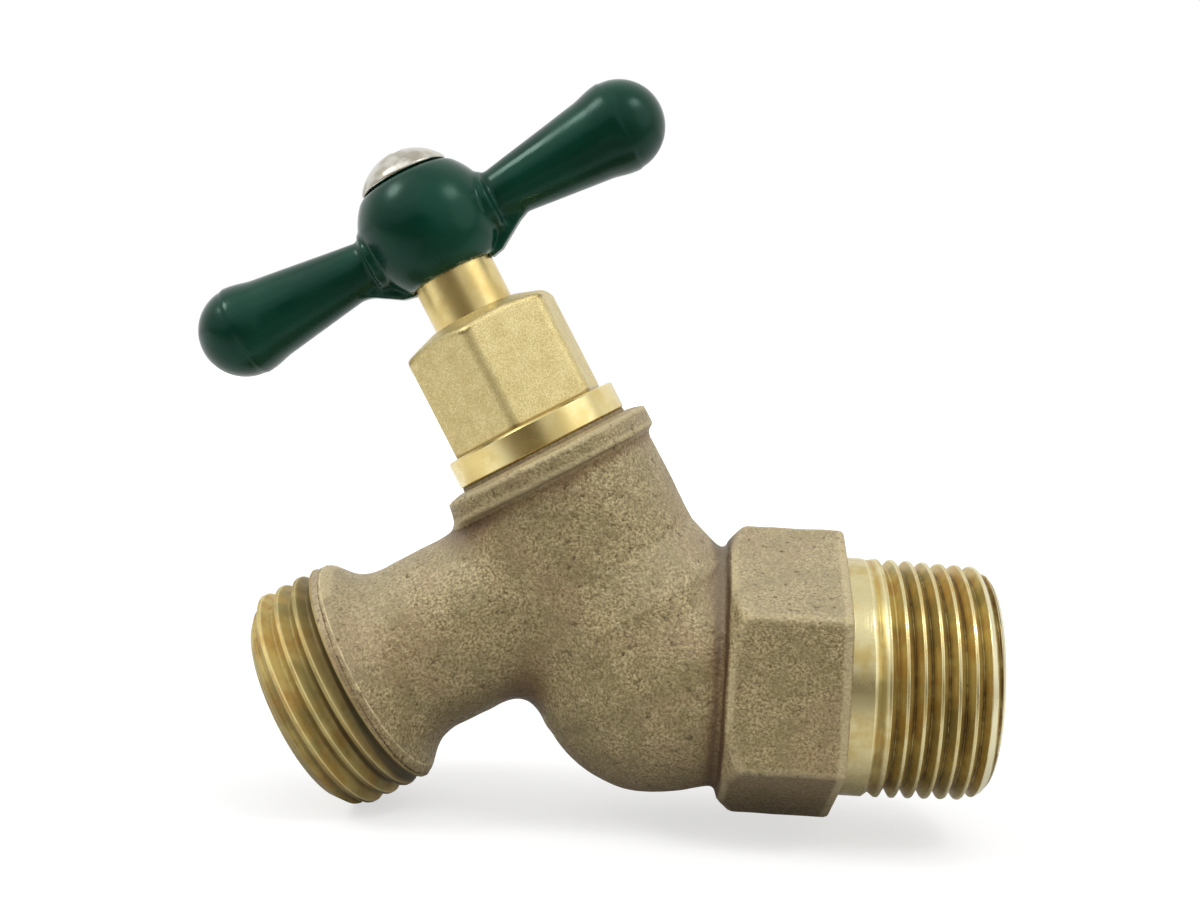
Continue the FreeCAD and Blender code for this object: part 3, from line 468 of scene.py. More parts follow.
def thread_depths(places, angles, first, pitch, crest, depth, fade, rounded=False):
    """Depth of a right-hand groove that fades in over some turns, with straight flanks or a round root."""
    turns = angles / (2 * math.pi)
    along = (places[:, None] - first) / pitch - turns[None, :]
    groove = np.round(along)
    off_centre = np.abs(along - groove) * pitch
    half = (pitch - crest) / 2
    depths = np.clip((half - off_centre) / FLANK, 0, depth)
    if rounded:
        depths = depth * np.sin(np.clip((half - off_centre) / half, 0, 1) * math.pi / 2)
    wound = groove + turns[None, :]
    return depths * np.clip(wound / fade, 0, 1) * (wound > 0)


def thread_grid(start, end):
    """Places along a threaded end, from just inside the casting, and angles round it."""
    places = np.arange(start - THREAD_OVERLAP, end + END_MARGIN, THREAD_STEP)
    return places, 2 * math.pi * np.arange(THREAD_SIDES) / THREAD_SIDES


def thread_piece(name, start, axis, radii, places, bore, material, marks):
    """A threaded sleeve. The marks that its material reads are zero on the inner wall."""
    points, faces = lathe_grid(start, axis, SIDE, radii, places, bore)
    wall = np.zeros(2 * radii.shape[1])
    attributes = {label: np.concatenate([values.ravel(), wall]) for label, values in marks.items()}
    mesh_object(name, points, faces, "valve", material, attributes)


def make_inlet_thread(material):
    """Machined land and tapered pipe thread."""
    places, angles = thread_grid(HEX_END, INLET_REACH)
    from_end = INLET_REACH - places
    land = np.minimum(PIPE_END_RADIUS + from_end * PIPE_TAPER, LAND_RADIUS)
    lip = PIPE_LIP + from_end * PIPE_LIP_SLOPE
    lip = np.minimum(lip, PIPE_CHAMFER + from_end * PIPE_CHAMFER_SLOPE)[:, None]
    depths = thread_depths(places, angles, PIPE_FIRST, PIPE_PITCH, PIPE_CREST, PIPE_DEPTH, PIPE_FADE)
    cut = land[:, None] - depths
    chamfered = lip < cut
    marks = {
        "depth": np.where(chamfered, 0, depths / PIPE_DEPTH),
        "skin": np.zeros(depths.shape),
        "old": np.zeros(depths.shape),
        "end": np.where(chamfered, np.clip(1 - from_end / 2, 0, 1)[:, None], 0),
    }
    radii = np.minimum(cut, lip)
    thread_piece(
        "valve_body_inlet_thread", CROSSING, INLET, radii, places, INLET_BORE_RADIUS, material, marks
    )


def make_outlet_thread(material):
    """Hose thread, whose first turn is cut through the casting's skin."""
    places, angles = thread_grid(RIM_END, OUTLET_REACH)
    depths = thread_depths(
        places, angles, HOSE_FIRST, HOSE_PITCH, HOSE_CREST, HOSE_DEPTH, HOSE_FADE, rounded=True
    )
    turns = angles / (2 * math.pi) - 0.5 + HOSE_CREST / HOSE_PITCH / 2
    past_cut = places[:, None] - HOSE_FIRST - HOSE_PITCH * turns[None, :]
    skin = np.clip(-past_cut / SKIN_FADE, 0, 1) * (depths < SKIN_DEPTH_LIMIT)
    marks = {
        "depth": depths / HOSE_DEPTH,
        "skin": skin,
        "old": np.clip(1 - np.abs(past_cut - OLD_MIDDLE) / OLD_REACH, 0, 1),
    }
    lip = HOSE_LIP + (OUTLET_REACH - places) * HOSE_LIP_SLOPE
    radii = np.minimum(HOSE_RADIUS - depths - SKIN_STEP * skin, lip[:, None])
    thread_piece(
        "valve_body_outlet_thread", OUTLET_START, OUTLET, radii, places, OUTLET_BORE_RADIUS, material, marks
    )


# Bonnet

FLANGE_LOW, FLANGE_TOP, BONNET_TOP = 27.75, 31.0, 44.65
BONNET_ACROSS, BONNET_ROUNDING, BONNET_END_ROUNDING = 17.0, 0.8, 0.5
BONNET_TURN = math.radians(35)
BONNET_ENDS = [(10.5, FLANGE_TOP - 0.4), (10.5, BONNET_TOP - 1.75), (5.6, BONNET_TOP)]
THREAD_BORE, SHANK_BORE, BORE_STEP = 6.35, 4.85, 33.02
BONNET_BORE = [(THREAD_BORE, 20), (THREAD_BORE, BORE_STEP), (SHANK_BORE, BORE_STEP), (SHANK_BORE, FAR)]
RING_GROOVE_RADIUS, RING_GROOVE_HALF = 6.25, 1.2
RING_HEIGHTS = (36.6, 40.6)
BONNET_STEP = 0.2
BONNET_REACH = np.array([13.0, 10.2, 13.0])
# Edges below the domed top get a painted dark reflection
BONNET_EDGE_REACH, BONNET_DARK_EDGE_TOP = 0.7, BONNET_TOP - 1.6
FLANGE = [
    (9.53, 20.9),
    (9.53, FLANGE_LOW),
    (10.1, FLANGE_LOW),
    (10.35, FLANGE_LOW + 0.22),
    (10.35, FLANGE_TOP - 0.22),
    (10.1, FLANGE_TOP),
    (6.4, FLANGE_TOP),
]
FLANGE_SIDES, FLANGE_BEVEL = 144, 0.05


def bonnet_hex(points):
    """Hexagon with a domed top, bored for the stem's thread, its shank and two seal rings."""
    face = math.cos(BONNET_TURN) * SIDE + math.sin(BONNET_TURN) * ARMS
    prism = hexagon_field(points, STEM, face, BONNET_ACROSS, BONNET_ROUNDING)
    solid = common(prism, round_stem(points, BONNET_ENDS), BONNET_END_ROUNDING)
    bore = round_stem(points, BONNET_BORE)
    for height in RING_HEIGHTS:
        low, high = height - RING_GROOVE_HALF, height + RING_GROOVE_HALF
        groove = round_stem(points, [(RING_GROOVE_RADIUS, low), (RING_GROOVE_RADIUS, high)])
        bore = np.minimum(bore, groove)
    return np.maximum(solid, -bore)


def make_bonnet_hex(material):
    """Sand-blasted hexagon of the bonnet."""
    middle = CROSSING + STEM * (FLANGE_TOP + BONNET_TOP) / 2
    points, faces = surface_around(bonnet_hex, middle, BONNET_REACH, BONNET_STEP)
    edge = edge_of(bonnet_hex, points, gradient(bonnet_hex, points), BONNET_EDGE_REACH)
    marks = {"edge": edge * (height_of(points) < BONNET_DARK_EDGE_TOP)}
    hexagon = mesh_object("bonnet_hex", points, faces, "valve", material, marks)
    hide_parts("bonnet")


def make_flange(material):
    """Turned flange of the bonnet, with the threaded neck below it."""
    places = np.array([place for _, place in FLANGE])
    radii = np.repeat(np.array([radius for radius, _ in FLANGE])[:, None], FLANGE_SIDES, axis=1)
    points, faces = lathe_grid(CROSSING, STEM, SIDE, radii, places, THREAD_BORE)
    flange = mesh_object("bonnet_flange", points, faces, "valve", material)
    round_edges(flange, FLANGE_BEVEL)


# Handle

HUB_HEIGHT, HUB_RADIUS = 56.05, 8.05
HUB_LOW, HUB_HIGH = 49.95, 62.1
HUB_LOW_ROUNDING, HUB_HIGH_ROUNDING = 0.4, 0.8
HUB_BORE = [(4.85, 40), (4.85, 51.0)]
ARM_HEIGHT = 55.35
ARM_RISES = {1: math.radians(1.75), -1: math.radians(-0.3)}
ARM_TIP_RADIUS, ARM_REACH = 5.25, 29.5
ARM_CONE = [(3.2, 3.0), (2.9, 8.0), (5.16, 24.1)]
COLLAR_RADIUS, COLLAR_WIDENING = 3.6, 1.25
COLLAR_START, COLLAR_END, COLLAR_ROUNDING = 2.0, 7.75, 0.4
WEB_OUTLINE = [(0, 49.0), (6.2, 50.3), (9.9, 52.6), (9.0, 55.0), (0, 55.0)]
WEB_HALF, WEB_ROUNDING = 0.8, 0.4
TIP_FILLET, COLLAR_FILLET, WEB_FILLET, HUB_FILLET = 0.6, 1.0, 0.9, 0.3
HANDLE_STEP = 0.27
HANDLE_REACH = np.array([28.5, 8.6, 21.0])
HANDLE_CORNER_REACHES, WORN_HEIGHT = (0.6, 1.6), 0.4


def handle_arm(points, way):
    """One arm with its collar and web. The two arms of the casting don't rise quite alike."""
    height = height_of(points)
    out = way * ((points - CROSSING) @ ARMS)
    rise = ARM_RISES[way]
    axis = way * math.cos(rise) * ARMS + math.sin(rise) * STEM
    start = CROSSING + ARM_HEIGHT * STEM
    tip = start + (ARM_REACH - ARM_TIP_RADIUS) * axis
    cone = turned_field(points, start, axis, ARM_CONE)
    arm = merged(cone, ball_field(points, tip, ARM_TIP_RADIUS), TIP_FILLET)
    across = np.sqrt((points[:, 1] / COLLAR_WIDENING) ** 2 + (height - ARM_HEIGHT) ** 2)
    collar_ends = np.maximum(out - COLLAR_END, COLLAR_START - out)
    collar = common(across - COLLAR_RADIUS, collar_ends, COLLAR_ROUNDING)
    web_side = np.maximum(outline_field(out, height, WEB_OUTLINE), 0)
    web = np.hypot(web_side, np.maximum(np.abs(points[:, 1]) - WEB_HALF, 0)) - WEB_ROUNDING
    return merged(merged(collar, arm, COLLAR_FILLET), web, WEB_FILLET)


def handle(points):
    """Tee handle: ball hub and two swelling arms."""
    height = height_of(points)
    hub = ball_field(points, CROSSING + HUB_HEIGHT * STEM, HUB_RADIUS)
    hub = common(hub, height - HUB_HIGH, HUB_HIGH_ROUNDING)
    whole = common(hub, HUB_LOW - height, HUB_LOW_ROUNDING)
    for way in ARM_RISES:
        whole = merged(whole, handle_arm(points, way), HUB_FILLET)
    return np.maximum(whole, -round_stem(points, HUB_BORE))


def make_handle(material):
    """Handle casting, marked in its corners for painted shade, and where it wears off."""
    middle = CROSSING + HUB_HEIGHT * STEM
    points, faces = surface_around(handle, middle, HANDLE_REACH, HANDLE_STEP)
    marks = {
        "recess": recess_of(handle, points, gradient(handle, points), HANDLE_CORNER_REACHES),
        "low": np.clip(1 - np.abs(height_of(points) - HUB_LOW) / WORN_HEIGHT, 0, 1),
    }
    piece = mesh_object(
        "handle_enamelled", points, faces, "handle_and_stem", material, marks
    )
    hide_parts("handle")


# Screw

SCREW_SEAT, SCREW_RISE = 62.1, 3.15
DOME_RADIUS, HEAD_RADIUS = 6.29, 5.35
HEAD_ROUNDING, HEAD_LOW_ROUNDING, CROSS_ROUNDING = 0.5, 0.3, 0.15
SCREW_SHANK = [(2.4, 55.0), (2.4, 62.6)]
CROSS_TURN = math.radians(28)
CROSS_TOP, CROSS_FLOOR, CROSS_TAPER = 2.9, 1.1, 2.0
CROSS_REACH, CROSS_REACH_LOST = 2.3, 1.6
CROSS_HALF, CROSS_HALF_LOST = 0.62, 0.25
SCREW_STEP = 0.12
SCREW_MIDDLE = SCREW_SEAT + 0.3
SCREW_REACH = np.array([6.2, 5.6, 5.6])


def cross_recess(points):
    """Cross recess that narrows as it goes down."""
    offset = points - CROSSING
    across, other = offset @ ARMS, offset @ SIDE
    first = across * math.cos(CROSS_TURN) + other * math.sin(CROSS_TURN)
    second = other * math.cos(CROSS_TURN) - across * math.sin(CROSS_TURN)
    depth = np.clip((SCREW_SEAT + CROSS_TOP - height_of(points)) / CROSS_TAPER, 0, 1)
    reach = CROSS_REACH - CROSS_REACH_LOST * depth
    half = CROSS_HALF - CROSS_HALF_LOST * depth
    slots = np.minimum(
        np.maximum(np.abs(first) - reach, np.abs(second) - half),
        np.maximum(np.abs(second) - reach, np.abs(first) - half),
    )
    return np.maximum(slots, (SCREW_SEAT + CROSS_FLOOR) - height_of(points))


def screw_head(points):
    """Truss head with a cross recess."""
    along, away = along_and_away(points, CROSSING + SCREW_SEAT * STEM, STEM)
    dome = ball_field(points, CROSSING + (SCREW_SEAT + SCREW_RISE - DOME_RADIUS) * STEM, DOME_RADIUS)
    head = common(common(dome, away - HEAD_RADIUS, HEAD_ROUNDING), -along, HEAD_LOW_ROUNDING)
    head = np.minimum(head, round_stem(points, SCREW_SHANK))
    return common(head, -cross_recess(points), CROSS_ROUNDING)


def make_screw(material):
    """Head of the handle's screw, with the top of its shank."""
    middle = CROSSING + SCREW_MIDDLE * STEM
    points, faces = surface_around(screw_head, middle, SCREW_REACH, SCREW_STEP)
    piece = mesh_object("handle_screw_head", points, faces, "handle_and_stem", material)
    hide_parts("handle_screw")


# Materials

class Nodes:
    """Short calls for building one material's nodes."""

    def __init__(self, name=None, world=None):
        self.material = world or bpy.data.materials.new(name)
        self.material.use_nodes = True
        self.tree = self.material.node_tree
        self.shader = self.tree.nodes.get("Principled BSDF")
        self.place = self.add("ShaderNodeTexCoord").outputs["Object"]

    def add(self, kind, **settings):
        """A new node."""
        node = self.tree.nodes.new(kind)
        for key, setting in settings.items():
            setattr(node, key, setting)
        return node

    def join(self, source, target):
        """Links a socket to an input, or sets the input to a plain value."""
        if isinstance(source, bpy.types.NodeSocket):
            self.tree.links.new(source, target)
        else:
            target.default_value = source

    def attribute(self, name):
        """A value that the mesh carries."""
        return self.add("ShaderNodeAttribute", attribute_name=name).outputs["Fac"]

    def noise(self, size, detail, roughness):
        """Noise whose features are about this size in millimetres."""
        node = self.add("ShaderNodeTexNoise")
        self.join(self.place, node.inputs["Vector"])
        node.inputs["Scale"].default_value = 1 / (size * MM)
        node.inputs["Detail"].default_value = detail
        node.inputs["Roughness"].default_value = roughness
        return node.outputs["Fac"]

    def spread(self, source, low, high, at_low=0.0, at_high=1.0, smooth=True):
        """The source rescaled from one range to another, and kept in it."""
        node = self.add("ShaderNodeMapRange", interpolation_type="SMOOTHSTEP" if smooth else "LINEAR")
        self.join(source, node.inputs["Value"])
        node.inputs["From Min"].default_value = low
        node.inputs["From Max"].default_value = high
        node.inputs["To Min"].default_value = at_low
        node.inputs["To Max"].default_value = at_high
        return node.outputs["Result"]

    def calculate(self, operation, first, second=0.0):
        """A number worked out from two."""
        node = self.add("ShaderNodeMath", operation=operation)
        self.join(first, node.inputs[0])
        self.join(second, node.inputs[1])
        return node.outputs[0]

    def times(self, first, second):
        """Two numbers multiplied."""
        return self.calculate("MULTIPLY", first, second)

    def vector(self, operation, first, second=None):
        """A vector, or a number, worked out from vectors."""
        node = self.add("ShaderNodeVectorMath", operation=operation)
        self.join(first, node.inputs[0])
        if second is not None:
            self.join(second, node.inputs[1])
        return node.outputs["Value" if operation in ("LENGTH", "DOT_PRODUCT") else "Vector"]

    def sides(self, source):
        """A vector's X, Y and Z."""
        node = self.add("ShaderNodeSeparateXYZ")
        self.join(source, node.inputs[0])
        return node.outputs

    def mix(self, factor, first, second, blend="MIX"):
        """Two colours mixed."""
        node = self.add("ShaderNodeMix", data_type="RGBA", blend_type=blend)
        # The node has sockets for every type of value, and these numbers are the colours'
        self.join(factor, node.inputs["Factor"])
        self.join(first, node.inputs[6])
        self.join(second, node.inputs[7])
        return node.outputs[2]

    def tint(self, first, second, source, low, high, at_low=0.0, at_high=1.0):
        """The second colour laid over the first, as strongly as the source says."""
        return self.mix(self.spread(source, low, high, at_low, at_high), first, second)

    def mix_value(self, factor, first, second):
        """Two numbers mixed."""
        node = self.add("ShaderNodeMix", data_type="FLOAT")
        self.join(factor, node.inputs[0])
        self.join(first, node.inputs[2])
        self.join(second, node.inputs[3])
        return node.outputs[0]

    def bump(self, height, depth, under=None):
        """A bump of this depth in millimetres."""
        node = self.add("ShaderNodeBump")
        node.inputs["Distance"].default_value = depth * MM
        self.join(height, node.inputs["Height"])
        if under is not None:
            self.join(under, node.inputs["Normal"])
        return node.outputs["Normal"]

    def set(self, **inputs):
        """Gives the shader its inputs."""
        for name, source in inputs.items():
            self.join(source, self.shader.inputs[name.replace("_", " ")])


def rgb(red, green, blue):
    """A colour as seen on screen, from 0 to 255, as the linear colour of a socket."""
    def linear(level):
        level /= 255
        return level / 12.92 if level <= 0.04045 else ((level + 0.055) / 1.055) ** 2.4

    return (linear(red), linear(green), linear(blue), 1.0)


def grey(level):
    """A linear grey."""
    return (level, level, level, 1.0)


def upward(nodes):
    """How far the surface faces up, from -1 to 1."""
    return nodes.sides(nodes.add("ShaderNodeNewGeometry").outputs["Normal"])["Z"]


def along_axis(nodes, axis):
    """A coordinate that changes only along an axis."""
    return nodes.vector("DOT_PRODUCT", nodes.place, axis)


def turning_marks(nodes, axis, size):
    """Fine rings round an axis."""
    node = nodes.add("ShaderNodeTexNoise", noise_dimensions="1D")
    nodes.join(along_axis(nodes, axis), node.inputs["W"])
    node.inputs["Scale"].default_value = 1 / (size * MM)
    node.inputs["Detail"].default_value = 2.0
    return node.outputs["Fac"]


SKIN_DARK, SKIN_PALE = rgb(120, 103, 66), rgb(202, 184, 138)
SKIN_OLIVE, SKIN_REDDISH, SKIN_FLECK = rgb(136, 124, 84), rgb(160, 132, 100), rgb(206, 192, 156)
# Painted shade with brown dirt for corners and creases
CORNER_WARM_SHADE_AND_DIRT, CORNER_DARK_SHADE_AND_DIRT = rgb(130, 96, 62), rgb(78, 56, 32)
# Painted shade on surfaces facing down, and painted light on surfaces facing up
SKIN_UNDERSIDE_SHADE, SKIN_TOP_LIGHT = rgb(88, 66, 38), rgb(206, 194, 168)
SKIN_WORN_HIGHLIGHT, SKIN_PIT = rgb(208, 192, 150), rgb(84, 66, 40)
SKIN_METALLIC, SKIN_BUMP = 0.4, 0.12
SCRATCH_COLOUR = rgb(226, 212, 166)
SCRATCH_BEFORE_END = 0.75
SCRATCH_HALF, SCRATCH_FADE, SCRATCH_SHARE = 0.04, 0.1, 0.75


def cast_skin(nodes, recess, edge):
    """Sand-cast skin: fine grain, mottling, pits, worn edges with painted highlights, brown dirt with painted
    shade in the corners, painted shade underneath and painted light on top.
    """
    fine = nodes.noise(0.3, 3, 0.62)
    coarse = nodes.noise(0.8, 3, 0.6)
    mottle = nodes.noise(3.6, 4, 0.62)
    patches = nodes.noise(7.5, 3, 0.55)
    up = upward(nodes)
    colour = nodes.tint(SKIN_DARK, SKIN_PALE, fine, 0.3, 0.72)
    # Each layer: its colour, what it follows, the range of that, and how strong it is at both ends
    layers = [
        (SKIN_OLIVE, mottle, 0.36, 0.6, 0.6, 0.0),
        (SKIN_REDDISH, patches, 0.48, 0.64, 0.0, 0.35),
        (SKIN_FLECK, coarse, 0.58, 0.7, 0.0, 0.4),
        # Painted shade with brown dirt in the corners
        (CORNER_WARM_SHADE_AND_DIRT, recess, 0.05, 0.28, 0.0, 0.55),
        (CORNER_DARK_SHADE_AND_DIRT, recess, 0.14, 0.4, 0.0, 0.85),
        # Painted shade underneath, and painted light on top
        (SKIN_UNDERSIDE_SHADE, up, -1.0, -0.3, 0.6, 0.0),
        (SKIN_TOP_LIGHT, up, 0.05, 0.8, 0.0, 0.24),
        # Worn edges, with a painted highlight along them
        (SKIN_WORN_HIGHLIGHT, edge, 0.03, 0.2, 0.0, 0.55),
        (SKIN_PIT, coarse, 0.29, 0.4, 0.7, 0.0),
    ]
    for layer, source, low, high, at_low, at_high in layers:
        colour = nodes.tint(colour, layer, source, low, high, at_low, at_high)
    rough = nodes.spread(fine, 0.35, 0.7, 0.6, 0.42)
    heights = nodes.calculate("ADD", fine, nodes.times(coarse, 2.4))
    return colour, rough, heights


def tool_scratch(nodes):
    """A thin bright line where the threading tool first touched the skin of the rim."""
    other = np.cross(OUTLET, SIDE)
    along = nodes.calculate("SUBTRACT", along_axis(nodes, OUTLET), float(OUTLET_START @ OUTLET) * MM)
    rise = nodes.calculate("SUBTRACT", float(OUTLET_START @ other) * MM, along_axis(nodes, other))
    forward = nodes.calculate("SUBTRACT", 0.0, along_axis(nodes, SIDE))
    turns = nodes.times(nodes.calculate("ARCTAN2", rise, forward), HOSE_PITCH * MM / (2 * math.pi))
    gap = nodes.calculate("SUBTRACT", along, turns)
    gap = nodes.calculate("SUBTRACT", gap, (RIM_END - SCRATCH_BEFORE_END) * MM)
    gap = nodes.calculate("ABSOLUTE", gap)
    line = nodes.spread(gap, SCRATCH_HALF * MM, SCRATCH_FADE * MM, SCRATCH_SHARE, 0.0)
    return nodes.times(line, nodes.spread(nodes.noise(1.6, 3, 0.6), 0.4, 0.6, 0.25, 1.0))


def cast_bronze():
    """Rough casting with the threading tool's scratch on its rim."""
    nodes = Nodes("cast_bronze")
    colour, rough, heights = cast_skin(nodes, nodes.attribute("recess"), nodes.attribute("edge"))
    colour = nodes.mix(tool_scratch(nodes), colour, SCRATCH_COLOUR)
    nodes.set(Base_Color=colour, Roughness=rough, Metallic=SKIN_METALLIC)
    nodes.set(Normal=nodes.bump(heights, SKIN_BUMP))
    return nodes.material


CREST_PALE, CREST_GOLDEN = rgb(214, 202, 154), rgb(200, 178, 116)
FLANK_PALE, FLANK_GOLDEN = rgb(198, 177, 108), rgb(188, 156, 84)
FLANK_TARNISH, FLANK_ORANGE = rgb(146, 134, 80), rgb(176, 130, 62)
# Painted highlight for the crest edges, and a painted pale reflection with a dark reflected ring for the
# chamfer
CREST_HIGHLIGHT, CHAMFER_PALE_REFLECTION, CHAMFER_DARK_REFLECTION = rgb(236, 224, 172), rgb(226, 218, 180), rgb(66, 56, 30)
# Roots: brown dirt with painted shade, and black specks of dirt
ROOT_DIRT_AND_SHADE, ROOT_BLACK = rgb(98, 76, 34), rgb(26, 20, 10)
# Old grime on the first turns, with painted shade on surfaces facing down
GRIME_AND_SHADE_OLIVE, GRIME_AND_SHADE_DARK = rgb(84, 70, 36), rgb(36, 32, 20)
UNDERSIDE_SHADE_LEVEL = 1.5
THREAD_SKIN_RECESS, THREAD_SKIN_BUMP, TURNING_BUMP = 0.14, 0.06, 0.008


def cut_brass(nodes, depth, stain, worn, shine):
    """Colour of a cut thread: thin painted highlights on the crest edges, golden to olive flanks, and a chamfer
    painted pale as a reflection with a dark reflected ring.
    """
    crest = nodes.tint(CREST_PALE, CREST_GOLDEN, stain, 0.42, 0.66)
    flank = nodes.tint(FLANK_PALE, FLANK_GOLDEN, stain, 0.4, 0.64)
    flank = nodes.tint(flank, FLANK_TARNISH, nodes.noise(5.0, 3, 0.6), 0.46, 0.64, 0.0, 0.65)
    flank = nodes.tint(flank, FLANK_ORANGE, nodes.noise(2.4, 3, 0.6), 0.54, 0.66, 0.0, 0.45)
    colour = nodes.tint(crest, flank, depth, worn, worn + 0.12)
    # Thin painted highlights along the crests' edges
    highlight_end = 0.1 + 0.12 * (1 - shine)
    edges = nodes.times(nodes.spread(depth, 0.0, 0.02), nodes.spread(depth, 0.04, highlight_end, 0.62, 0.0))
    colour = nodes.mix(edges, colour, CREST_HIGHLIGHT)
    # The end's chamfer is painted pale as a reflection, with a dark ring of painted reflection
    end = nodes.attribute("end")
    colour = nodes.tint(colour, CHAMFER_PALE_REFLECTION, end, 0.0, 0.1)
    ring = nodes.times(nodes.spread(end, 0.63, 0.7), nodes.spread(end, 0.8, 0.87, 1.0, 0.0))
    return nodes.mix(ring, colour, CHAMFER_DARK_REFLECTION)


def dirty_and_shaded_brass(nodes, colour, depth, stain, dirt_and_shade):
    """Brown and black lines in the roots, with painted shade in the brown; old grime on the first turns; and
    painted shade on surfaces facing down.
    """
    # Brown in the roots: dirt, with painted shade
    root = nodes.times(nodes.spread(depth, 0.84, 0.98), nodes.spread(stain, 0.36, 0.6, 0.4, 0.95))
    colour = nodes.mix(nodes.times(root, dirt_and_shade), colour, ROOT_DIRT_AND_SHADE)
    specks = nodes.noise(0.6, 3, 0.6)
    black = nodes.times(nodes.spread(depth, 0.9, 1.0), nodes.spread(specks, 0.6, 0.68, 0.0, 0.8))
    black = nodes.times(nodes.times(black, dirt_and_shade), nodes.spread(specks, 0.3, 0.6))
    colour = nodes.mix(black, colour, ROOT_BLACK)
    # Painted shade on surfaces facing down, mixed into the grime; it is stronger on the less dirty thread
    below = nodes.spread(upward(nodes), -0.7, 0.1, 0.6, 0.0)
    old = nodes.times(nodes.attribute("old"), nodes.spread(depth, 0.0, 0.5, 0.4, 0.8))
    grime_and_shade = nodes.calculate("SUBTRACT", old, nodes.times(below, dirt_and_shade - UNDERSIDE_SHADE_LEVEL))
    colour = nodes.mix(nodes.spread(grime_and_shade, 0.0, 0.9, 0.0, 0.85, smooth=False), colour, GRIME_AND_SHADE_OLIVE)
    return nodes.tint(colour, GRIME_AND_SHADE_DARK, grime_and_shade, 0.6, 1.2, 0.0, 0.6)


def threaded_brass(name, axis, dirt_and_shade, worn, shine):
    """Cut brass threads. The skin that the tool left uncut is cast skin."""
    nodes = Nodes(name)
    depth = nodes.attribute("depth")
    skin = nodes.attribute("skin")
    stain = nodes.noise(3.2, 4, 0.6)
    colour = cut_brass(nodes, depth, stain, worn, shine)
    colour = dirty_and_shaded_brass(nodes, colour, depth, stain, dirt_and_shade)
    polished = nodes.spread(stain, 0.35, 0.65, 0.24, 0.36)
    rough = nodes.mix_value(nodes.spread(depth, worn - 0.02, worn + 0.2), polished, 0.4)
    rough = nodes.mix_value(shine, 0.56, rough)
    # The uncut skin takes a little of the corners' painted shade all over
    skin_colour, skin_rough, heights = cast_skin(nodes, THREAD_SKIN_RECESS, 0.0)
    colour = nodes.mix(skin, colour, skin_colour)
    rough = nodes.mix_value(skin, rough, skin_rough)
    metallic = nodes.mix_value(shine, 0.5, nodes.spread(depth, 0.05, 0.4, 0.97, 0.6))
    metallic = nodes.mix_value(skin, metallic, SKIN_METALLIC)
    fine = nodes.bump(turning_marks(nodes, axis, 0.12), TURNING_BUMP)
    normal = nodes.bump(nodes.times(heights, skin), THREAD_SKIN_BUMP, fine)
    nodes.set(Base_Color=colour, Roughness=rough, Metallic=metallic, Normal=normal)
    return nodes.material


def blasted_brass():
    """Forged and sand-blasted brass with a fine even grain, and smoother edges painted darker as a dark
    reflection.
    """
    nodes = Nodes("blasted_brass")
    edge = nodes.spread(nodes.attribute("edge"), 0.12, 0.26)
    fine = nodes.noise(0.18, 3, 0.6)
    colour = nodes.tint(rgb(204, 188, 134), rgb(234, 220, 170), fine, 0.32, 0.7)
    cloud = nodes.tint(rgb(243, 238, 224), rgb(255, 253, 246), nodes.noise(2.0, 4, 0.6), 0.35, 0.65)
    colour = nodes.mix(1.0, colour, cloud, "MULTIPLY")
    # Painted dark reflection along the edges
    colour = nodes.mix(nodes.times(edge, 0.85), colour, rgb(146, 120, 64))
    rough = nodes.mix_value(edge, nodes.spread(fine, 0.35, 0.65, 0.52, 0.42), 0.3)
    nodes.set(Base_Color=colour, Roughness=rough, Metallic=0.75, Normal=nodes.bump(fine, 0.03))
    return nodes.material


def turned_brass(name, dull, pale, golden):
    """Brass straight from the lathe."""
    nodes = Nodes(name)
    marks = turning_marks(nodes, STEM, 0.07)
    stain = nodes.noise(4.0, 3, 0.6)
    colour = nodes.tint(pale, golden, stain, 0.38, 0.66)
    colour = nodes.tint(colour, rgb(170, 144, 84), marks, 0.3, 0.5, 0.14, 0.0)
    rough = nodes.spread(stain, 0.35, 0.7, 0.2 + dull, 0.3 + dull)
    nodes.set(Base_Color=colour, Roughness=rough, Metallic=1.0, Normal=nodes.bump(marks, 0.003))
    return nodes.material


ENAMEL_SPECULAR = 0.26
ENAMEL_GLOSS_COLOUR = (0.62, 1.0, 0.85, 1.0)


def green_enamel():
    """Thick dipped enamel, a little uneven, with painted shade in its corners, worn to metal at the hub's lower
    edge.
    """
    nodes = Nodes("green_enamel")
    flow = nodes.noise(5.5, 2, 0.45)
    colour = nodes.tint(rgb(6, 50, 37), rgb(9, 62, 46), nodes.noise(9.0, 2, 0.5), 0.35, 0.65)
    recess = nodes.spread(nodes.attribute("recess"), 0.25, 0.7)
    # Painted shade in the corners
    colour = nodes.mix(nodes.times(recess, 0.7), colour, rgb(4, 26, 19))
    bare = nodes.times(nodes.attribute("low"), nodes.spread(nodes.noise(1.6, 3, 0.6), 0.5, 0.7))
    colour = nodes.mix(bare, colour, rgb(186, 188, 178))
    rough = nodes.spread(flow, 0.3, 0.7, 0.16, 0.3)
    nodes.set(Base_Color=colour, Roughness=rough, Metallic=nodes.times(bare, 0.8))
    nodes.set(Specular_IOR_Level=ENAMEL_SPECULAR, Specular_Tint=ENAMEL_GLOSS_COLOUR)
    nodes.set(Normal=nodes.bump(flow, 0.1))
    return nodes.material


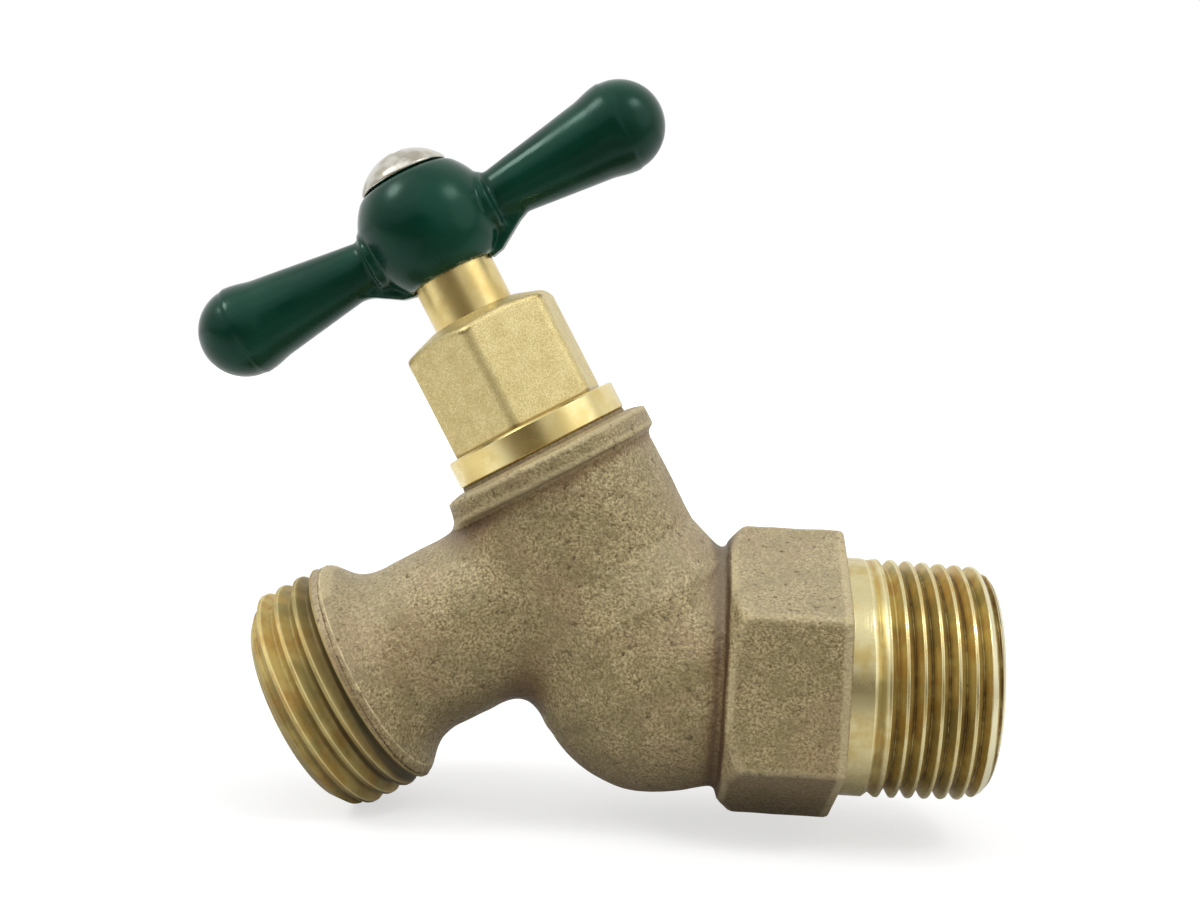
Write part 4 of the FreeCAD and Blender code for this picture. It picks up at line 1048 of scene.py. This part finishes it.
def nickel():
    """Worn nickel plate."""
    nodes = Nodes("nickel")
    stain = nodes.noise(2.4, 3, 0.6)
    colour = nodes.tint(rgb(206, 203, 192), rgb(172, 166, 150), stain, 0.4, 0.65)
    rough = nodes.spread(nodes.noise(0.25, 3, 0.6), 0.3, 0.7, 0.16, 0.3)
    nodes.set(Base_Color=colour, Roughness=rough, Metallic=1.0, Normal=nodes.bump(stain, 0.05))
    return nodes.material


def grained(name, size, detail, roughness, colours, gloss, metallic, bump):
    """A plain material with one grain, between two colours and two roughnesses."""
    nodes = Nodes(name)
    grain = nodes.noise(size, detail, roughness)
    rough = nodes.spread(grain, 0.3, 0.7, *gloss)
    nodes.set(Base_Color=nodes.tint(*colours, grain, 0.35, 0.65), Roughness=rough, Metallic=metallic)
    nodes.set(Normal=nodes.bump(grain, bump))
    return nodes.material


def spring_steel():
    """Plain steel of the retaining ring."""
    colours = (rgb(150, 152, 156), rgb(184, 186, 190))
    return grained("spring_steel", 0.4, 3, 0.6, colours, (0.28, 0.45), 1.0, 0.01)


def rubber():
    """Black rubber of the seals and the washer."""
    colours = (rgb(26, 26, 27), rgb(42, 41, 40))
    return grained("rubber", 0.5, 3, 0.6, colours, (0.55, 0.75), 0.0, 0.02)


def fibre():
    """Pressed fibre ring."""
    colours = (rgb(124, 106, 76), rgb(164, 146, 108))
    return grained("fibre", 0.35, 4, 0.7, colours, (0.6, 0.85), 0.0, 0.03)


def dress_node(node, material):
    """Gives a solid that stays as packed its material."""
    mesh = frame["nodes"][node].data
    if not mesh.materials:
        mesh.materials.append(material)
    for index in range(len(mesh.materials)):
        mesh.materials[index] = material


# Studio, in metres

WHITE = grey(1.0)
DARK_COLOUR = (0.12, 0.09, 0.045, 1.0)
SKY_LOW, SKY_HIGH = 0.35, 1.0
MIRRORED_LOW, MIRRORED_HIGH = 0.72, 0.95
DARK_PATCH_MIDDLE = (-0.1, 0.0, 0.0)
DARK_PATCH_REACH = (0.42, 0.26)
FLOOR_SHARE, FLOOR_MIRRORED, FLOOR_SEEN, FLOOR_GLOW = 0.3, 0.95, 0.45, 0.6
FLOOR_GAP, FLOOR_HALF = 0.3, 40.0
LAMP_AIM = (-0.045, 0, 0.02)
# Each lamp: its place, size and power
LAMPS = {
    "key": ((-0.45, -0.35, 0.6), (0.8, 0.8), 0.7),
    "side": ((0.6, -0.3, 0.35), (0.6, 0.8), 0.8),
    "left_softbox": ((-0.66, -0.21, 0.62), (0.28, 0.28), 1.9),
    "right_softbox": ((0.35, -0.3, 0.68), (0.3, 0.24), 1.3),
}


def add_lamp(name, place, size, watts):
    """A soft lamp that shines on the object."""
    data = bpy.data.lights.new(name, "AREA")
    data.shape = "ELLIPSE"
    data.size, data.size_y = size
    data.energy = watts
    lamp = bpy.data.objects.new(name, data)
    bpy.context.scene.collection.objects.link(lamp)
    lamp.location = place
    way = Matrix.Translation(LAMP_AIM).translation - lamp.location
    lamp.rotation_mode = "QUATERNION"
    lamp.rotation_quaternion = way.to_track_quat("-Z", "Y")


def dark_patch(nodes, direction, sides):
    """One in a soft oval in front of the object, and zero elsewhere."""
    scale = (1 / DARK_PATCH_REACH[0], 0, 1 / DARK_PATCH_REACH[1])
    offset = nodes.vector("MULTIPLY", nodes.vector("SUBTRACT", direction, DARK_PATCH_MIDDLE), scale)
    oval = nodes.spread(nodes.vector("LENGTH", offset), 0.7, 1.25, 1.0, 0.0)
    return nodes.times(oval, nodes.spread(sides["Y"], -0.2, -0.1, 1.0, 0.0))


def make_world():
    """White behind the object, plain soft light on it, and a dark patch that polished metal mirrors."""
    world = bpy.data.worlds.new("studio")
    bpy.context.scene.world = world
    nodes = Nodes(world=world)
    direction = nodes.add("ShaderNodeTexCoord").outputs["Generated"]
    sides = nodes.sides(direction)
    mirrored = nodes.spread(sides["Z"], 0.0, 0.7, MIRRORED_LOW, MIRRORED_HIGH)
    mirrored = nodes.times(mirrored, nodes.spread(sides["X"], 0.2, 0.7, 1.0, 0.86))
    mirrored = nodes.mix(dark_patch(nodes, direction, sides), mirrored, DARK_COLOUR)
    mirrored = nodes.tint(mirrored, WHITE, sides["Y"], 0.05, 0.35)
    sky = nodes.spread(sides["Z"], 0.0, 1.0, SKY_LOW, SKY_HIGH, smooth=False)
    path = nodes.add("ShaderNodeLightPath").outputs
    lit = nodes.mix(path["Is Glossy Ray"], sky, mirrored)
    background = nodes.tree.nodes["Background"]
    nodes.join(nodes.mix(path["Is Camera Ray"], lit, WHITE), background.inputs["Color"])


def floor_material():
    """Pale floor that runs into the white background. Metal mirrors it darker in front of the object."""
    nodes = Nodes("floor")
    path = nodes.add("ShaderNodeLightPath").outputs
    sides = nodes.sides(nodes.place)
    front = nodes.spread(sides["Y"], -0.2, -0.03, 1.0, 0.0)
    front = nodes.times(front, nodes.spread(sides["X"], 0.1, 0.25, 1.0, 0.0))
    near = nodes.spread(sides["Y"], -0.07, -0.02, 0.75, 0.0)
    near = nodes.times(near, nodes.spread(sides["X"], -0.1, -0.06))
    mirrored = nodes.mix(nodes.calculate("MAXIMUM", front, near), grey(FLOOR_MIRRORED), DARK_COLOUR)
    level = nodes.mix(path["Is Glossy Ray"], grey(FLOOR_SHARE), mirrored)
    level = nodes.mix(path["Is Camera Ray"], level, grey(FLOOR_SEEN))
    nodes.set(Base_Color=level, Roughness=0.9)
    far = nodes.spread(nodes.vector("LENGTH", nodes.place), 0.12, 0.6)
    glow = nodes.add("ShaderNodeEmission")
    strength = nodes.times(path["Is Camera Ray"], nodes.spread(far, 0, 1, FLOOR_GLOW, 1.0))
    nodes.join(strength, glow.inputs["Strength"])
    both = nodes.add("ShaderNodeAddShader")
    nodes.join(nodes.shader.outputs[0], both.inputs[0])
    nodes.join(glow.outputs[0], both.inputs[1])
    nodes.join(both.outputs[0], nodes.tree.nodes["Material Output"].inputs["Surface"])
    return nodes.material


def make_floor():
    """Plain pale floor just below the object."""
    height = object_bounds()[0].z - FLOOR_GAP * MM
    mesh = bpy.data.meshes.new("floor")
    corners = [(x * FLOOR_HALF, y * FLOOR_HALF, height) for x, y in ((-1, -1), (1, -1), (1, 1), (-1, 1))]
    mesh.from_pydata(corners, [], [(0, 1, 2, 3)])
    floor = bpy.data.objects.new("floor", mesh)
    bpy.context.scene.collection.objects.link(floor)
    mesh.materials.append(floor_material())


def make_looks():
    """The pieces that replace solids, and materials for the solids that stay."""
    brass = turned_brass("turned_brass", 0.0, rgb(232, 216, 158), rgb(220, 198, 132))
    make_casting(cast_bronze())
    make_inlet_thread(threaded_brass("inlet_thread_brass", INLET, dirt_and_shade=1.0, worn=0.08, shine=1.0))
    make_outlet_thread(threaded_brass("outlet_thread_brass", OUTLET, dirt_and_shade=0.35, worn=-0.1, shine=0.1))
    make_bonnet_hex(blasted_brass())
    make_flange(brass)
    make_handle(green_enamel())
    make_screw(nickel())
    black = rubber()
    dressed = {
        "stem": turned_brass("stem_brass", 0.07, rgb(226, 206, 144), rgb(208, 184, 118)),
        "bonnet_gasket": fibre(),
        "stem_o_ring_lower": black,
        "stem_o_ring_upper": black,
        "seat_washer": black,
        "disc_holder": brass,
        "washer_screw": brass,
        "retaining_ring": spring_steel(),
    }
    for node, material in dressed.items():
        dress_node(node, material)


def make_studio():
    """Background, floor and lamps."""
    make_world()
    make_floor()
    for name, (place, size, watts) in LAMPS.items():
        add_lamp(name, place, size, watts)


bpy.context.scene.view_settings.view_transform = "Standard"
make_camera()
make_looks()
make_studio()
